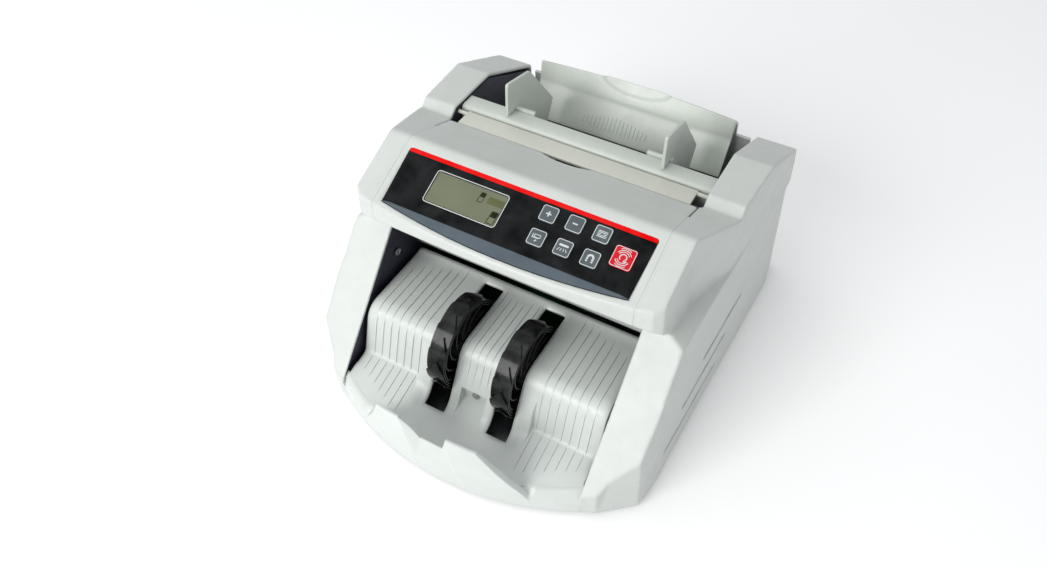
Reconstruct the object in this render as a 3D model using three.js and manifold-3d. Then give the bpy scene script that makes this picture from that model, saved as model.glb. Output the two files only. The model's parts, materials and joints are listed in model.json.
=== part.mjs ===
import * as THREE from "three";
import { mergeVertices } from "three/addons/utils/BufferGeometryUtils.js";
import Module from "manifold-3d";

// Banknote counting machine, millimetres. X right, Y to the rear, Z up.
// Lengths are given with Y = 0 at the upper edge of the control panel, and the
// group moves them so that the origin is the bottom centre of the machine.

const wasm = await Module();
wasm.setup();

// ---- driving dimensions
const WALL = 2.6; // thickness of the moulded covers
const GAP = 0.4; // clearance between neighbouring pieces
const UNDERSIDE = 3; // bottom edge of the covers, above the feet
const ORIGIN_Y = 24.13; // middle of the depth

const SEAM = 88; // front cover to side cover
const PLATE_X = 90.5; // inner face of the steel frame plates
const PLATE = 1.5;

// The base's front wall is an arc in plan that leans forward as it rises.
const FRONT_RADIUS = 183;
const FRONT_Y = -116.8;
const FRONT_LEAN = 0.152;

// Control panel: a plane that climbs from the eave to the crest.
const PANEL_SLOPE = THREE.MathUtils.degToRad(23.8);
const PANEL_TOP_Z = 156.6;
const EAVE_Y = -45.5;
const EAVE_RADIUS = 700;
const CREST = [6.3, 159.4];

// Stacker: the wheels turn in two slots of the tray.
const WHEEL_RADIUS = 32.4;
const WHEEL_AXIS = [-47.5, 53.7];
const WHEEL_X = 23.25;
const WHEEL_WIDTH = 12.4;
const WHEEL_FINS = 12;
const FIN_SWEEP = 2.6; // radians from a fin's tip back to its root
const FIN_WIND = 1.75; // radians over which it stays close to the rim
const FIN_PITCH = 1.5; // gap from one fin to the next near the rim, centre to centre
const FIN_STEPS = 14;
const SLOT_WIDTH = 15;

// Shafts as [Y, Z].
const EXIT_AXIS = [7, 69.5];
const TRANSPORT_AXIS = [34, 84];
const FEED_AXIS = [118, 91.5];
const MAIN_MOTOR_AXIS = [62, 40];
const FEED_MOTOR_AXIS = [118, 44];
const FLAP_AXIS = [63.6, 140.9];
const DOOR_AXIS = [168.5, 63.9];

// Keys on the panel: [name, x, y, width].
const KEY_ROW_1 = -8.9;
const KEY_ROW_2 = -23.6;
const KEY_PITCH = 17.15;
const KEY_X = 18.35;
const KEY = 10.5;
const KEYS = [
  ["key_plus", KEY_X, KEY_ROW_1, KEY],
  ["key_minus", KEY_X + KEY_PITCH, KEY_ROW_1, KEY],
  ["key_batch", KEY_X + 2 * KEY_PITCH, KEY_ROW_1, KEY],
  ["key_add", KEY_X, KEY_ROW_2, KEY],
  ["key_lamp_check", KEY_X + KEY_PITCH, KEY_ROW_2, KEY],
  ["key_magnet_check", KEY_X + 2 * KEY_PITCH, KEY_ROW_2, KEY],
  ["key_restart", 69.6, -16.8, 13.2],
];
const DISPLAY = { x: -33.5, y: -17.3, width: 50.4, height: 22.3 };

// ---- materials
const paint = (color, roughness, metalness = 0) =>
  new THREE.MeshStandardMaterial({ color, roughness, metalness });
const WHITE = paint(0xe2e7e4, 0.45);
const GREY = paint(0xafb6af, 0.4);
const BEIGE = paint(0xbec0b6, 0.5);
const NAVY = paint(0x2d2d3e, 0.55, 0.2);
const BLACK = paint(0x0a0b0c, 0.25);
const DARK = paint(0x23262a, 0.6);
const RUBBER = paint(0x1b1b1b, 0.85);
const STEEL = paint(0xb9bcc0, 0.3, 1);
const FILM = paint(0x14181a, 0.35);
const GLASS = paint(0x7d8258, 0.2);
const KEYCAP = paint(0x5a6266, 0.5);
const RED = paint(0xcd1e2d, 0.45);
const BOARD = paint(0x1f5a38, 0.6);
const COPPER = paint(0x9c5b32, 0.4, 0.8);

// ---- solids
function solid(geometry) {
  const bare = geometry.index ? geometry.toNonIndexed() : geometry.clone();
  bare.deleteAttribute("normal");
  bare.deleteAttribute("uv");
  const merged = mergeVertices(bare, 1e-4);
  const mesh = new wasm.Mesh({
    numProp: 3,
    vertProperties: merged.attributes.position.array,
    triVerts: new Uint32Array(merged.index.array),
  });
  return new wasm.Manifold(mesh);
}

function piece(name, body, material) {
  const { vertProperties, triVerts } = body.getMesh();
  const geometry = new THREE.BufferGeometry();
  geometry.setAttribute("position", new THREE.BufferAttribute(vertProperties, 3));
  geometry.setIndex(new THREE.BufferAttribute(triVerts, 1));
  geometry.computeVertexNormals();
  const mesh = new THREE.Mesh(geometry, material);
  mesh.name = name;
  return mesh;
}

function extruded(outline, depth) {
  const shape = new THREE.Shape(outline.map(([u, v]) => new THREE.Vector2(u, v)));
  return new THREE.ExtrudeGeometry(shape, { depth, bevelEnabled: false });
}

const AXIS_X = new THREE.Vector3(1, 0, 0);
const AXIS_Y = new THREE.Vector3(0, 1, 0);
const AXIS_Z = new THREE.Vector3(0, 0, 1);

// An outline of [y, z] points drawn out along X, of [x, z] along Y, of [x, y] along Z.
function prismX(outline, x0, x1) {
  const turn = new THREE.Matrix4().makeBasis(AXIS_Y, AXIS_Z, AXIS_X);
  return solid(extruded(outline, x1 - x0).applyMatrix4(turn).translate(x0, 0, 0));
}

function prismY(outline, y0, y1) {
  const turn = new THREE.Matrix4().makeBasis(AXIS_X, AXIS_Z, AXIS_Y.clone().negate());
  return solid(extruded(outline, y1 - y0).applyMatrix4(turn).translate(0, y1, 0));
}

function prismZ(outline, z0, z1) {
  return solid(extruded(outline, z1 - z0).translate(0, 0, z0));
}

function block(x0, x1, y0, y1, z0, z1) {
  const box = new THREE.BoxGeometry(x1 - x0, y1 - y0, z1 - z0);
  return solid(box.translate((x0 + x1) / 2, (y0 + y1) / 2, (z0 + z1) / 2));
}

function rodX(radius, x0, x1, [y, z], sides = 24) {
  const rod = new THREE.CylinderGeometry(radius, radius, x1 - x0, sides);
  return solid(rod.rotateZ(Math.PI / 2).translate((x0 + x1) / 2, y, z));
}

function rodY(radius, y0, y1, x, z, sides = 24) {
  const rod = new THREE.CylinderGeometry(radius, radius, y1 - y0, sides);
  return solid(rod.translate(x, (y0 + y1) / 2, z));
}

function rodZ(radius, z0, z1, x, y, sides = 24) {
  const rod = new THREE.CylinderGeometry(radius, radius, z1 - z0, sides);
  return solid(rod.rotateX(Math.PI / 2).translate(x, y, (z0 + z1) / 2));
}

// Rounds each corner [u, v, radius] of a closed outline; one with no radius stays sharp.
function rounded(corners, steps = 3) {
  return corners.flatMap(([u, v, radius], i) => {
    if (!radius) return [[u, v]];
    const before = corners.at(i - 1);
    const after = corners[(i + 1) % corners.length];
    const here = new THREE.Vector2(u, v);
    const back = new THREE.Vector2(before[0] - u, before[1] - v).normalize();
    const on = new THREE.Vector2(after[0] - u, after[1] - v).normalize();
    const reach = radius / Math.tan(back.angleTo(on) / 2);
    const start = here.clone().addScaledVector(back, reach);
    const end = here.clone().addScaledVector(on, reach);
    const arc = new THREE.QuadraticBezierCurve(start, here, end);
    return arc.getPoints(steps).map((p) => [p.x, p.y]);
  });
}

const roundRect = (x, y, width, height, radius, steps = 2) =>
  rounded(
    [
      [x - width / 2, y - height / 2, radius],
      [x + width / 2, y - height / 2, radius],
      [x + width / 2, y + height / 2, radius],
      [x - width / 2, y + height / 2, radius],
    ],
    steps,
  );

// The outline moved inwards by a distance; its points run anticlockwise.
function inset(outline, distance) {
  if (!distance) return outline;
  const count = outline.length;
  const edges = outline.map(([u, v], i) => {
    const [u1, v1] = outline[(i + 1) % count];
    const length = Math.hypot(u1 - u, v1 - v);
    const along = [(u1 - u) / length, (v1 - v) / length];
    const from = [u - along[1] * distance, v + along[0] * distance];
    return { from, along };
  });
  return edges.map((edge, i) => {
    const before = edges.at(i - 1);
    const cross = before.along[0] * edge.along[1] - before.along[1] * edge.along[0];
    const gap = [edge.from[0] - before.from[0], edge.from[1] - before.from[1]];
    const t = (gap[0] * edge.along[1] - gap[1] * edge.along[0]) / cross;
    return [before.from[0] + before.along[0] * t, before.from[1] + before.along[1] * t];
  });
}

// A solid with straight walls from a lower outline to an upper one of as many points.
function drafted(lower, z0, upper, z1) {
  const count = lower.length;
  const corners = [
    ...lower.map(([x, y]) => [x, y, z0]),
    ...upper.map(([x, y]) => [x, y, z1]),
  ];
  const index = [];
  for (let i = 0; i < count; i++) {
    const j = (i + 1) % count;
    index.push(i, j, count + j, i, count + j, count + i);
  }
  const cap = (outline) =>
    THREE.ShapeUtils.triangulateShape(
      outline.map(([x, y]) => new THREE.Vector2(x, y)),
      [],
    );
  for (const [a, b, c] of cap(lower)) index.push(c, b, a);
  for (const [a, b, c] of cap(upper)) index.push(count + a, count + b, count + c);
  const geometry = new THREE.BufferGeometry();
  const position = new THREE.Float32BufferAttribute(corners.flat(), 3);
  geometry.setAttribute("position", position);
  geometry.setIndex(index);
  return solid(geometry);
}

const mirrored = (body) => body.mirror([1, 0, 0]);

// A right-hand outline from front to rear, closed by its mirror image.
const bothSides = (half) => [
  ...half,
  ...half
    .filter(([x]) => x > 0)
    .map(([x, y]) => [-x, y])
    .reverse(),
];

// How far an arc of the given radius falls back at a distance from the middle.
const fallBack = (x, radius) => radius - Math.sqrt(radius * radius - x * x);

// ---- outer form of the covers
const legLine = (z) => -97 + 0.8576 * (z - 20.7);
const panelLine = (y) => PANEL_TOP_Z + y * Math.tan(PANEL_SLOPE);
const rearLine = (z) => 174.5 - 0.0733 * (z - UNDERSIDE);
const frontArc = (x, z) =>
  FRONT_Y + fallBack(x, FRONT_RADIUS) - FRONT_LEAN * (z - UNDERSIDE);

// Plan of the lower body at a height: arc in front, cut corners, sides that draw in.
function lowerPlan(z) {
  const draw = 0.057 * (z - UNDERSIDE);
  const arc = [0, 22, 44, 66, 90].map((x) => [x, frontArc(x, z)]);
  return bothSides([
    ...arc,
    [98.5, -90 - 0.1 * (z - UNDERSIDE)],
    [119 - draw, -72],
    [121 - draw, -52],
    [125.5 - draw, 150],
    [123 - draw, 168],
    [118 - draw, 180],
  ]);
}

// Lower body: the legs' sloping front, shoulders, and the sides.
function lowerBody(wall) {
  const floor = wall ? -20 : UNDERSIDE;
  const outline = [
    [legLine(floor), floor],
    [rearLine(floor), floor],
    [rearLine(111.4), 111.4],
    [legLine(111.4), 111.4],
  ];
  const shoulders = [
    [-130, 0],
    [130, 0],
    [130, 92],
    [116.5, 103.5],
    [101, 111.4],
    [-101, 111.4],
    [-116.5, 103.5],
    [-130, 92],
  ];
  if (wall) {
    outline[0] = [legLine(floor) - 2, floor];
    shoulders[0] = [-130, -30];
    shoulders[1] = [130, -30];
  }
  const plan = drafted(
    inset(lowerPlan(floor), wall),
    floor,
    inset(lowerPlan(112), wall),
    112,
  );
  return plan
    .intersect(prismX(inset(outline, wall), -130, 130))
    .intersect(prismY(inset(shoulders, wall), -140, 190));
}

// Head: undercut, control panel, crest, top plane, wings and rear slope.
function headBody(wall) {
  const profile = rounded(
    inset(
      [
        [-21.7, 108.5],
        [legLine(90), 90],
        [rearLine(90), 90],
        [rearLine(119.5), 119.5],
        [104.5, 147],
        [60, 146.6],
        [54.5, 141.4],
        CREST,
        [-49.8, panelLine(-49.8)],
      ],
      wall,
    ).map(([y, z], i) => [y, z, { 3: 4, 7: 7 }[i] ?? 0]),
  );
  const plan = (draw) => [
    ...[0, 22, 44, 66, 90].map((x) => [x, EAVE_Y + fallBack(x, EAVE_RADIUS)]),
    [97.5 + draw, -38],
    [103 + draw, -33],
    [103.5 + draw, 6],
    [114 + draw, 50],
    [116.8 + draw, 104],
    [117.4 + draw, 150],
    [117.4 + draw, 180],
  ];
  const form = drafted(
    inset(bothSides(plan(2.7)), wall),
    88,
    inset(bothSides(plan(-0.6)), wall),
    166,
  );
  return form.intersect(prismX(profile, -130, 130));
}

// ---- covers
function sideCover() {
  const outer = headBody(0).add(lowerBody(0));
  const inner = headBody(WALL).add(lowerBody(WALL));
  const keep = block(SEAM + GAP, 140, -140, 52, 0, 170).add(
    block(PLATE_X - 0.4, 140, 51, 190, 0, 170),
  );
  return outer.subtract(inner).intersect(keep);
}

// Three long slits in the side wall, each a little higher and further back.
const SLIT_WIDTH = 2.4;

function ventCuts() {
  const slits = [
    { y: 50, z: 50.5, length: 67 },
    { y: 22, z: 34.5, length: 72 },
    { y: 2.5, z: 17.5, length: 83 },
  ];
  return slits
    .map(({ y, z, length }) => block(105, 140, y - length / 2, y + length / 2, z, z + SLIT_WIDTH))
    .reduce((all, cut) => all.add(cut));
}

function frontCover() {
  const rear = 50.4;
  const shell = headBody(0)
    .subtract(headBody(WALL))
    .intersect(block(-SEAM, SEAM, -60, rear, 108.4, 170));
  const below = block(-100, 100, -18.5, 60, 90, 138.6);
  const scallop = rodZ(36, 120, 170, 0, 45 + 36, 48);
  return shell.subtract(below).subtract(scallop).subtract(panelCuts());
}

// Everything on the panel is set out on its own plane: x across, y up the slope.
const slopeLength = (y) => y / Math.cos(PANEL_SLOPE);
const panelFrame = new THREE.Matrix4()
  .makeRotationX(PANEL_SLOPE)
  .setPosition(0, 0, PANEL_TOP_Z);
const onPanel = (body) => body.transform(panelFrame.toArray());
const FILM_DEPTH = 0.6;

function filmOutline(margin) {
  const top = -0.2 + margin;
  const side = 83.6 + margin;
  const low = slopeLength(-36.4) - margin;
  const bow = slopeLength(-42.8) - slopeLength(-36.4);
  const bowed = [-60, -40, -20, 0, 20, 40, 60].map((x) => [
    x,
    low + bow * (1 - (x / side) ** 2),
  ]);
  return rounded([[-side, top, 2], [-side, low, 1], ...bowed, [side, low, 1], [side, top, 2]]);
}

function panelCuts() {
  const recess = prismZ(filmOutline(0.35), -FILM_DEPTH - 0.3, 5);
  const holes = [...KEYS.map(keyHole), displayHole(-1)];
  return onPanel(holes.reduce((all, hole) => all.add(hole), recess));
}

const keyHole = ([, x, y, width]) =>
  prismZ(roundRect(x, slopeLength(y), width + 0.8, width + 0.8, 2), -9, 5);

const displayHole = (shrink) => {
  const { x, y, width, height } = DISPLAY;
  return prismZ(roundRect(x, slopeLength(y), width + shrink, height + shrink, 2), -9, 5);
};

function membraneFilm() {
  const sheet = prismZ(filmOutline(0), -FILM_DEPTH, 0);
  const holes = KEYS.map(keyHole).reduce((all, hole) => all.add(hole));
  return sheet.subtract(holes).subtract(displayHole(0));
}

function keycap([, x, y, width]) {
  const s = slopeLength(y);
  const cap = prismZ(roundRect(x, s, width, width, 1.8), -3.4, 0.7);
  return cap.add(prismZ(roundRect(x, s, width - 5, width - 5, 1), -6.6, -3.4));
}

function displayModule() {
  const { x, y, width, height } = DISPLAY;
  const s = slopeLength(y);
  return prismZ(roundRect(x, s, width - 1.8, height - 1.8, 1.4), -3, -0.3).add(
    block(x - 27, x + 27, s - 12.4, s + 12.4, -8, -3.4).add(
      block(x - 22, x + 22, s - 8, s + 8, -3.6, -2),
    ),
  );
}

function displayBoard() {
  const board = block(-80, 80, -44, -4, -10.4, -8.8);
  const chips = [-52, -30, 44].map((x) => block(x - 7, x + 7, -34, -24, -12.6, -10.2));
  return chips.reduce((all, chip) => all.add(chip), board);
}

// ---- stacker tray: level deck, steep face, floor, front wall and its two ears
const TRAY_X = 87.6;
const DECK_Z = 65;
const TRAY_WALL = 2.5;
const MIDDLE_X = 42;

const OUTER_FACE = [[-70, 30.2, 3]];
const MIDDLE_FACE = [
  [-62.2, 54, 3],
  [-78, 24.6, 4],
  [-88, 22.9],
];

// Section of the tray sheet: deck, rounded bend, the face's corners, floor.
function trayProfile(face) {
  const top = [[1.6, 66.3], [-4, DECK_Z], [-59.6, DECK_Z, 8], ...face, [-98.6, 22], [-116, 21]];
  const under = face
    .map(([y, z]) => [y + 2, z - TRAY_WALL])
    .reverse();
  return rounded([
    ...top,
    [-116, 21 - TRAY_WALL],
    [-98.6, 22 - TRAY_WALL],
    ...under,
    [-57.6, DECK_Z - TRAY_WALL, 6],
    [-4, DECK_Z - TRAY_WALL],
    [1.6, 63.9],
  ]);
}

// The front wall's arc, leaning forward, between two heights.
function frontForm(z0, z1, wall) {
  const plan = (z) => [
    ...[-TRAY_X, -66, -44, -22, 0, 22, 44, 66, TRAY_X].map((x) => [
      x,
      frontArc(x, z) + wall,
    ]),
    [TRAY_X, 10],
    [-TRAY_X, 10],
  ];
  return drafted(plan(z0), z0, plan(z1), z1);
}

// Corners of an ear as [x, z]; the notch lies between the two ears.
const EAR = {
  notchFoot: [7.8, 47],
  notchTop: [16.3, 71.9],
  shoulder: [35.5, 67.2],
  edge: [50.5, 33.7],
  tip: [61.5, 18],
};
const EAR_FOOT_WALL = 7;
const EAR_TOP_WALL = 1.2;

// The front wall with its ears: thick at the floor, thin at the top.
function ears() {
  const [z0, z1] = [18, 76];
  const plan = (z, wall) => [
    ...[-TRAY_X, -66, -44, -22, 0, 22, 44, 66, TRAY_X].map((x) => [x, frontArc(x, z) + wall]),
    [TRAY_X, 10],
    [-TRAY_X, 10],
  ];
  const inner = drafted(plan(z0, EAR_FOOT_WALL), z0, plan(z1, EAR_TOP_WALL), z1);
  const right = Object.values(EAR);
  const left = right.map(([x, z]) => [-x, z]).reverse();
  return frontForm(z0, z1, 0)
    .subtract(inner)
    .intersect(prismY([...left, ...right], -140, -90));
}

// Thumb recess below the notch: it fades out towards the base.
function thumbRecess() {
  const [notchX, notchZ] = EAR.notchFoot;
  const edge = EAR.notchTop[0];
  const plan = (middle, middleY, edgeY) => [
    [-edge, -135],
    [edge, -135],
    [edge, edgeY],
    [middle, middleY],
    [-middle, middleY],
    [-edge, edgeY],
  ];
  const foot = plan(13, frontArc(0, 4) + 0.1, frontArc(edge, 4) - 0.2);
  return drafted(foot, 4, plan(notchX, -121, frontArc(edge, notchZ) - 0.2), notchZ + 0.5);
}

function stackerTray() {
  const outer = trayProfile(OUTER_FACE);
  const middle = trayProfile(MIDDLE_FACE);
  const deck = prismX(outer, MIDDLE_X, TRAY_X)
    .add(prismX(outer, -TRAY_X, -MIDDLE_X))
    .add(prismX(middle, -MIDDLE_X, MIDDLE_X))
    .intersect(frontForm(0, 80, 1));
  const gusset = prismX(
    [
      [-60, 56],
      [-64, 30],
      [-70, 26],
      [-97, 19.8],
      [-97, 22.3],
      [-78, 27.6],
      [-62.2, 54],
    ],
    MIDDLE_X - 1.2,
    MIDDLE_X + 1.2,
  );
  const skirt = frontForm(UNDERSIDE, 23, 0)
    .subtract(frontForm(0, 30, WALL))
    .subtract(block(-100, 100, -92, 0, 0, 60));
  const slot = block(
    WHEEL_X - SLOT_WIDTH / 2,
    WHEEL_X + SLOT_WIDTH / 2,
    -84,
    -4.6,
    10,
    80,
  );
  const pocketWall = prismX(
    [
      [-64.6, 43],
      [-64.6, 24],
      [-76, 20.2],
      [-80, 21.4],
      [-71, 40.5],
    ],
    -12,
    12,
  );
  const screwPocket = prismX(
    [
      [-67.8, 37.6],
      [-67.8, 28],
      [-79.6, 24.4],
      [-84, 30],
      [-76, 42],
    ],
    -9.5,
    9.5,
  );
  return deck
    .add(gusset)
    .add(mirrored(gusset))
    .add(pocketWall)
    .subtract(screwPocket)
    .subtract(slot)
    .subtract(mirrored(slot))
    .add(skirt)
    .add(ears())
    .subtract(thumbRecess());
}

// ---- stacker wheel: a hub with fins that leave it steeply, then wind close to the rim
function finLine(back) {
  const rim = WHEEL_RADIUS - (FIN_PITCH * back * WHEEL_FINS) / (2 * Math.PI);
  const dive = Math.max(0, (back - FIN_WIND) / (FIN_SWEEP - FIN_WIND));
  const radius = THREE.MathUtils.lerp(rim, 11.5, dive ** 1.3);
  return new THREE.Vector2(radius * Math.cos(back), radius * Math.sin(back));
}

function finOutline([y, z]) {
  const side = (sign) =>
    Array.from({ length: FIN_STEPS + 1 }, (_, i) => {
      const back = (FIN_SWEEP * i) / FIN_STEPS;
      const along = finLine(back + 0.01).sub(finLine(back - 0.01)).normalize();
      const half = sign * THREE.MathUtils.lerp(0.3, 0.5, i / FIN_STEPS);
      const here = finLine(back);
      return [y + here.x - along.y * half, z + here.y + along.x * half];
    });
  return [...side(1), ...side(-1).reverse()];
}

function stackerWheel(x) {
  const [y, z] = WHEEL_AXIS;
  const half = WHEEL_WIDTH / 2;
  const fin = finOutline(WHEEL_AXIS);
  const turned = (k) => {
    const angle = (2 * Math.PI * k) / WHEEL_FINS;
    return fin.map(([v, w]) => [
      y + (v - y) * Math.cos(angle) - (w - z) * Math.sin(angle),
      z + (v - y) * Math.sin(angle) + (w - z) * Math.cos(angle),
    ]);
  };
  let wheel = rodX(13, x - half, x + half, WHEEL_AXIS, 24);
  for (let k = 0; k < WHEEL_FINS; k++) {
    wheel = wheel.add(prismX(turned(k), x - half + 0.2, x + half - 0.2));
  }
  return wheel.subtract(rodX(4.3, x - 20, x + 20, WHEEL_AXIS, 16));
}

// ---- shafts, rollers and pulleys
const shaft = (radius, x0, x1, axis) => rodX(radius, x0, x1, axis, 16);

const roller = (radius, bore, x, width, axis) =>
  rodX(radius, x - width / 2, x + width / 2, axis, 32).subtract(
    rodX(bore, x - width, x + width, axis, 16),
  );

// A pulley with two flanges.
function pulley(radius, x0, x1, axis) {
  return rodX(radius, x0, x1, axis, 24)
    .add(rodX(radius + 2, x0, x0 + 1, axis, 24))
    .add(rodX(radius + 2, x1 - 1, x1, axis, 24));
}

// A flat belt round two pulleys, between their flanges.
function belt(axisA, radiusA, axisB, radiusB, x0, x1) {
  const loop = (grow) => {
    const [ya, za] = axisA;
    const [yb, zb] = axisB;
    const between = Math.hypot(yb - ya, zb - za);
    const heading = Math.atan2(zb - za, yb - ya);
    const open = Math.acos((radiusA - radiusB) / between);
    const arc = ([cy, cz], radius, from, to) =>
      Array.from({ length: 13 }, (_, i) => {
        const angle = from + ((to - from) * i) / 12;
        return [
          cy + (radius + grow) * Math.cos(angle),
          cz + (radius + grow) * Math.sin(angle),
        ];
      });
    return [
      ...arc(axisB, radiusB, heading - open, heading + open),
      ...arc(axisA, radiusA, heading + open, heading + 2 * Math.PI - open),
    ];
  };
  return prismX(loop(1.5), x0, x1).subtract(prismX(loop(0.35), x0 - 1, x1 + 1));
}

// A motor whose bored nose ends at x; its body lies on the inner side.
function motor(axis, length, nose) {
  return rodX(18, nose - 2 - length, nose - 2, axis, 28)
    .add(rodX(6, nose - 3, nose, axis, 20))
    .subtract(rodX(2.8, nose - 12, nose + 1, axis, 12));
}

// A motor's pulley on the stub of its spindle.
const motorPulley = (x, axis) =>
  pulley(6, x, x + 6, axis).add(rodX(2.2, PLATE_X - 8, x + 1, axis, 12));

// ---- frame
const SHAFT_HOLES = [
  [WHEEL_AXIS, 4.6],
  [EXIT_AXIS, 3.6],
  [TRANSPORT_AXIS, 4.6],
  [FEED_AXIS, 4.6],
  [MAIN_MOTOR_AXIS, 7],
  [FEED_MOTOR_AXIS, 7],
];

function framePlate() {
  const behindLeg = (z) => legLine(z) + 4.6;
  const outline = rounded([
    [-86, 6.5],
    [168, 6.5],
    [rearLine(100) - 3.6, 100],
    [rearLine(117) - 4, 116.2, 3],
    [103.6, 143.4],
    [62, 143.2],
    [56, 137],
    [8, 154, 4],
    [-8, 148],
    [-14, 122],
    [behindLeg(110), 110],
    [behindLeg(24), 24],
  ]);
  const holes = SHAFT_HOLES.map(([axis, radius]) => rodX(radius, 80, 100, axis, 12));
  return holes.reduce(
    (plate, hole) => plate.subtract(hole),
    prismX(outline, PLATE_X, PLATE_X + PLATE),
  );
}

const tieRod = (y, z, radius = 4) => rodX(radius, -PLATE_X + 0.3, PLATE_X - 0.3, [y, z], 16);

function screwHead(radius, height) {
  const head = rodZ(radius, 0, height, 0, 0, 20);
  const slot = (w, l) => block(-l / 2, l / 2, -w / 2, w / 2, height * 0.5, height + 1);
  return head.subtract(slot(0.9, radius * 1.3)).subtract(slot(radius * 1.3, 0.9));
}

// ---- hopper
const FLOOR_TOP = [81.8, 137];
const FLOOR_END = [134, 95.4];

function hopperFloor() {
  const along = new THREE.Vector2(FLOOR_END[0] - FLOOR_TOP[0], FLOOR_END[1] - FLOOR_TOP[1]);
  const down = new THREE.Vector2(along.y, -along.x).normalize().multiplyScalar(2);
  const plate = prismX(
    [
      FLOOR_TOP,
      [FLOOR_TOP[0] + down.x, FLOOR_TOP[1] + down.y],
      [FLOOR_END[0] + down.x, FLOOR_END[1] + down.y],
      FLOOR_END,
    ],
    -89.8,
    89.8,
  );
  const slot = rodX(ROLLER.feed + 1.5, 18, 38, FEED_AXIS, 32);
  return plate.subtract(slot).subtract(mirrored(slot));
}

const ROLLER = { feed: 14.4, transport: 12 };

function hopperRail() {
  const outline = rounded([
    [80, 141.2],
    [80, 143.8],
    [67, 143.8, 3.5],
    [67, 128],
    [69.4, 128],
    [69.4, 141.2, 1.5],
  ]);
  return prismX(outline, -90, 90);
}

const GUIDE_X = 55;

// A side guide for the notes: an upright pentagonal plate on a foot behind the rail.
function billGuide() {
  const plate = prismX(
    rounded([
      [70, 144.8, 1],
      [81, 144.8],
      [81, 140.2],
      [126.5, 104.4, 2],
      [134.6, 120.6, 2],
      [99.5, 163, 2],
      [70, 169.4, 2],
    ]),
    GUIDE_X,
    GUIDE_X + 2,
  );
  return plate.add(block(GUIDE_X - 14, GUIDE_X + 3.5, 80.5, 83.2, 138.6, 145.4));
}

function flap() {
  const leaf = prismX(
    rounded([
      [50.9, 140.4],
      [65.5, 139.4],
      [65.5, 142.4, 1],
      [50.9, 142.5, 1],
    ]),
    -82.7,
    82.7,
  );
  return leaf.add(rodX(1.4, -90, 90, FLAP_AXIS, 12));
}

// ---- rear door with the hopper plate
const RIM = { x: 75.5, y: 154.5, z: 133.6, bow: 6 };

function hopperPlate() {
  const face = prismX(
    [
      [138.5, 95.9],
      [141.4, 94.4],
      [156, 118],
      [156, 121],
      [153, 121],
      [153, 119.2],
    ],
    -RIM.x,
    RIM.x,
  );
  const rimRadius = (RIM.x ** 2 + RIM.bow ** 2) / (2 * RIM.bow);
  const rimY = (x, z) =>
    RIM.y + RIM.bow - fallBack(x, rimRadius) - (RIM.z - z) * (0.1 + (0.36 * RIM.bow) / 6);
  const across = Array.from({ length: 11 }, (_, i) => RIM.x * (i / 5 - 1));
  const ring = (z, share) => [
    ...across.map((x) => [x, 153 + (rimY(x, z) - 153) * share]),
    ...across.map((x) => [x, 156 + (rimY(x, z) - 153) * share]).reverse(),
  ];
  const lip = drafted(ring(RIM.z, 0), 119.6, ring(RIM.z, 1), RIM.z);
  return face.add(lip);
}

const DOOR_X = 86;

function doorShell() {
  const outer = [
    [rearLine(62), 62],
    [rearLine(116), 116, 6],
    [164.2, 127],
    [162, 126.4],
    [rearLine(114) - 2.6, 114.6, 4],
    [rearLine(62) - 2.6, 62],
  ];
  const shell = prismX(rounded(outer), -DOOR_X, DOOR_X);
  const corner = block(RIM.x, 100, 100, 180, 116, 140);
  const pins = rodX(1.5, 80, 89.7, DOOR_AXIS, 12);
  return shell
    .subtract(corner)
    .subtract(mirrored(corner))
    .subtract(rodY(4.4, 150, 190, 0, 96, 20))
    .add(pins)
    .add(mirrored(pins));
}

function gapKnob() {
  const knob = rodY(9, 168.4, 174.3, 0, 96, 24);
  const grips = Array.from({ length: 8 }, (_, i) => {
    const angle = (i * Math.PI) / 4;
    return rodY(1.6, 169.6, 184, 9.6 * Math.cos(angle), 96 + 9.6 * Math.sin(angle), 10);
  });
  return grips
    .reduce((all, grip) => all.subtract(grip), knob)
    .add(rodY(3.6, 160, 169, 0, 96, 16));
}

// ---- back cover, inlet and switch
const INLET = { x: -54, z: 32 };
const SWITCH = { x: -20, z: 32 };

function backCover() {
  const wall = prismX(
    [
      [rearLine(UNDERSIDE), UNDERSIDE],
      [rearLine(60.6), 60.6],
      [rearLine(60.6) - WALL, 60.6],
      [rearLine(UNDERSIDE) - WALL, UNDERSIDE],
    ],
    -PLATE_X + 0.8,
    PLATE_X - 0.8,
  );
  const opening = ({ x, z }, width, height) =>
    prismY(roundRect(x, z, width, height, 1.5), 150, 190);
  const vents = Array.from({ length: 6 }, (_, i) =>
    block(20, 70, 150, 190, 18 + 6 * i, 20.4 + 6 * i),
  );
  return vents
    .reduce((all, vent) => all.subtract(vent), wall)
    .subtract(opening(INLET, 28.4, 20.6))
    .subtract(opening(SWITCH, 15.6, 21.6));
}

function powerInlet() {
  const { x, z } = INLET;
  const shell = prismY(roundRect(x, z, 27.6, 19.8, 1.2), 152, 174.4);
  const mouth = prismY(roundRect(x, z, 24, 16.4, 4), 157, 190);
  const pins = [-7, 0, 7].map((dx, i) =>
    block(x + dx - 1, x + dx + 1, 156, 171, z - 2 + (i % 2) * 2, z + 2 + (i % 2) * 2),
  );
  return pins.reduce((all, pin) => all.add(pin), shell.subtract(mouth));
}

function switchRocker() {
  const { x, z } = SWITCH;
  const outline = rounded([
    [170.5, z - 7.6],
    [174.3, z - 7.2, 1],
    [172.6, z],
    [172.2, z + 7.2, 1],
    [170.5, z + 7.6],
    [167, z + 3],
    [167, z - 3],
  ]);
  return prismX(outline, x - 5.2, x + 5.2);
}

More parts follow.
